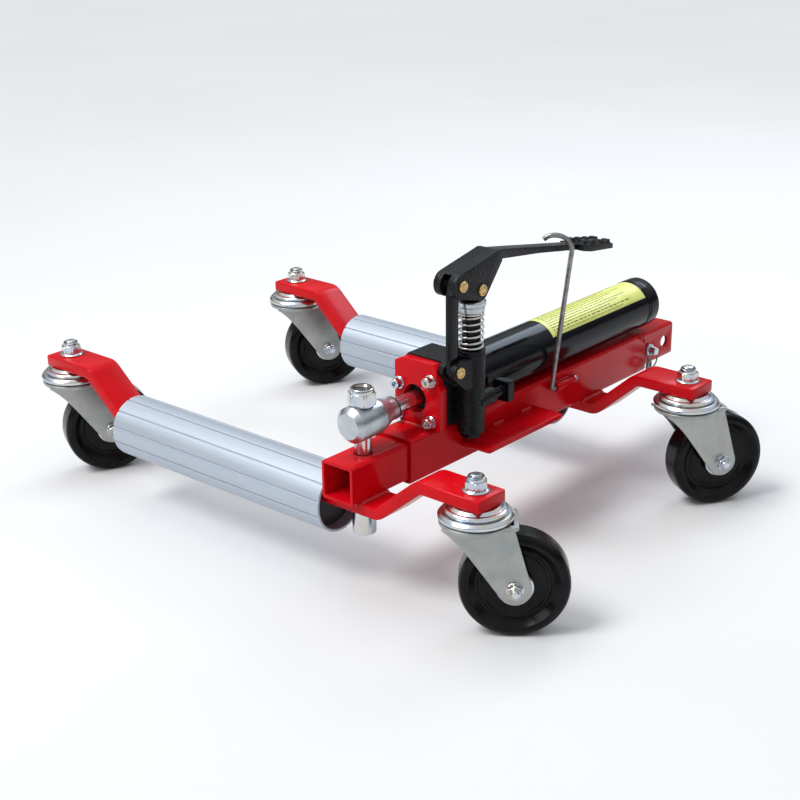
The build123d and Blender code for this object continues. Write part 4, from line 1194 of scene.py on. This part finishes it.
def make_lock_pin():
    low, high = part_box("lock_pin")
    x, _, z = middle("lock_pin")
    face = beam_y - INNER_HALF
    stub = 1000 * (face - low.y)
    shank = 1000 * (high.y - face)
    body = [(0.01, -shank), (4.8, -shank), (6, -shank + 1.4), (6, 0)]
    collar = [(7, 0), (7, 5), (4.5, 5.4), (4.5, stub), (0.01, stub)]
    profile = profile_mm(body + collar, [0, 0.4, 0.4, 0, 0.4, 0.9, 0.4, 0.8, 0])
    part_of("lock_pin", "lock_pin_turned", [turned(profile, across_y(x, face, z), 64)], ZINC)


def make_lock_ring():
    """Split ring through the stub, and a spring clip with two loops and two short ends hung on it."""
    low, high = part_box("lock_ring")
    centre = middle("lock_ring")
    wire = (high.y - low.y) / 2
    radius = (high.x - low.x) / 2 - wire

    def loop(middle, size, lean, turns=1.0):
        path = []
        for step in range(int(64 * turns) + 1):
            angle = radians(80) + 2 * pi * step / 64
            side = lean * cos(angle) + 0.0016 * step / 64
            path.append(middle + Vector((size * cos(angle), side, size * sin(angle))))
        return tube_along(path, wire * 0.92, 10)

    clip = centre + Vector((-0.0072, -0.0006, -0.0052))
    ends = []
    for reach, drop in ((0.0125, 0.0160), (0.0045, 0.0185)):
        start = clip + Vector((0.0030, 0.0010, -0.0040))
        bend = start + Vector((reach * 0.45, -0.0008, -drop * 0.30))
        path = rounded([start, bend, start + Vector((reach, -0.0012, -drop))], 0.006, 6)
        ends.append(tube_along(path, wire * 0.8, 8))
    parts = [loop(centre, radius, 0.0), loop(clip, 0.0062, 0.0012, 1.9)] + ends
    part_of("lock_ring", "lock_ring_wound", parts, WIRE)


CROOK_HEADING = radians(126.3)
CROOK_BEND = 0.0158
TIP_DROP = radians(42)


def make_hook():
    """One bent rod: pivot in its tube, leaning leg and a crook over the pedal's arm."""
    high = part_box("wire_hook")[1]
    wire = 0.0025
    pivot = middle("hook_tube")
    way = Vector((cos(CROOK_HEADING), sin(CROOK_HEADING), 0))
    tip_way = way * cos(TIP_DROP) - Z_DIR * sin(TIP_DROP)
    corner = Vector((near_x + 0.2537, beam_y - 0.0578, high.z - wire))
    crook_end = corner + way * 0.0247
    corners = [
        Vector((high.x, pivot.y, pivot.z)), Vector((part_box("hook_tube")[0].x - 0.007, pivot.y, pivot.z)),
        corner, crook_end, crook_end + tip_way * 0.0063,
    ]
    path = rounded(corners, [0, 0.006, CROOK_BEND, CROOK_BEND, 0], 16, share=0.8)
    part_of("wire_hook", "wire_hook_bent", [tube_along(path, wire, 20)], WIRE)


make_lock_pin()
make_lock_ring()
make_hook()
rounded_copy("hook_cap", "hook_cap_pressed", 0.0005, ZINC)


# ---------------------------------------------------------------- stage, light and camera


def make_stage():
    bpy.ops.mesh.primitive_plane_add(size=80, location=(0, 0, -0.0002))
    floor_plane = bpy.context.object
    floor_plane.name = "floor"
    look = Nodes("floor_pale", Roughness=0.8, Specular_IOR_Level=0.2)
    look.color(look.ramp(look.noise(2.0, 2), (0.3, (0.65, 0.652, 0.655)), (0.7, (0.67, 0.672, 0.675))))
    floor_plane.data.materials.append(look.material)


def aimed(name, data, direction, location=(0, 0, 0)):
    """Lamp that shines in a direction."""
    lamp = bpy.data.objects.new(name, data)
    lamp.location = location
    lamp.rotation_mode = "QUATERNION"
    lamp.rotation_quaternion = Vector(direction).to_track_quat("-Z", "Y")
    scene.collection.objects.link(lamp)


def area_light(name, location, size, power, color, size_y=None):
    """Soft box that faces the middle of the dolly."""
    data = bpy.data.lights.new(name, "AREA")
    data.shape = "RECTANGLE"
    data.size = size
    data.size_y = size_y or size
    data.energy = power
    data.color = color
    aimed(name, data, Vector((0, 0, 0.1)) - Vector(location), location)


def make_light():
    """Pale dome, darker towards the horizon, a broad sun from the left and soft boxes for the gloss."""
    world = bpy.data.worlds.new("studio")
    world.use_nodes = True
    tree = world.node_tree
    background = tree.nodes["Background"]
    sky = tree.nodes.new("ShaderNodeTexCoord")
    split = tree.nodes.new("ShaderNodeSeparateXYZ")
    fade = tree.nodes.new("ShaderNodeValToRGB")
    tree.links.new(sky.outputs["Generated"], split.inputs["Vector"])
    tree.links.new(split.outputs["Z"], fade.inputs["Fac"])
    tree.links.new(fade.outputs["Color"], background.inputs["Color"])
    elements = fade.color_ramp.elements
    elements.new(0.3)
    elements.new(0.5)
    for element, (height, level) in zip(elements, ((0.02, 0.60), (0.06, 0.14), (0.24, 0.26), (0.52, 1.0))):
        element.position = height
        element.color = (level * 0.95, level * 0.975, level, 1)
    background.inputs["Strength"].default_value = 0.75
    scene.world = world
    sun = bpy.data.lights.new("sun", "SUN")
    sun.energy = 2.1
    sun.angle = radians(24)
    aimed("sun", sun, (0.62, -0.30, -1.0))
    area_light("overhead", (-0.1, 0.5, 1.5), 1.1, 6, (0.94, 0.97, 1.0), 0.5)
    area_light("left_box", (-1.7, 0.4, 0.9), 0.7, 5, (0.96, 0.98, 1.0))
    area_light("far_box", (1.6, 0.1, 1.5), 1.0, 9, (0.72, 0.84, 1.0), 0.5)


def make_camera():
    """Camera at the viewing angle of a product shot, low over the operator's near corner."""
    azimuth = radians(-48.79)
    elevation = radians(21.32)
    roll = radians(-0.74)
    back = Vector((sin(azimuth) * cos(elevation), -cos(azimuth) * cos(elevation), sin(elevation)))
    right = Vector((cos(azimuth), sin(azimuth), 0))
    over = back.cross(right)
    tilted = right * cos(roll) + over * sin(roll)
    data = bpy.data.cameras.new("camera")
    data.sensor_width = 36.0
    data.lens = 71.53
    data.clip_start = 0.05
    data.clip_end = 60
    camera = bpy.data.objects.new("camera", data)
    scene.collection.objects.link(camera)
    stand = Vector((near_x - 0.9892, beam_y - 0.9178, 0.7132))
    turn = Matrix((tilted, back.cross(tilted), back)).transposed().to_4x4()
    camera.matrix_world = Matrix.Translation(stand) @ turn
    scene.camera = camera


make_stage()
make_light()
make_camera()
scene.view_settings.view_transform = "Standard"

for node, node_object in frame["nodes"].items():
    if not node_object.hide_render:
        node_object.data.materials.clear()
        node_object.data.materials.append(SLOTS[slot_of[node]])
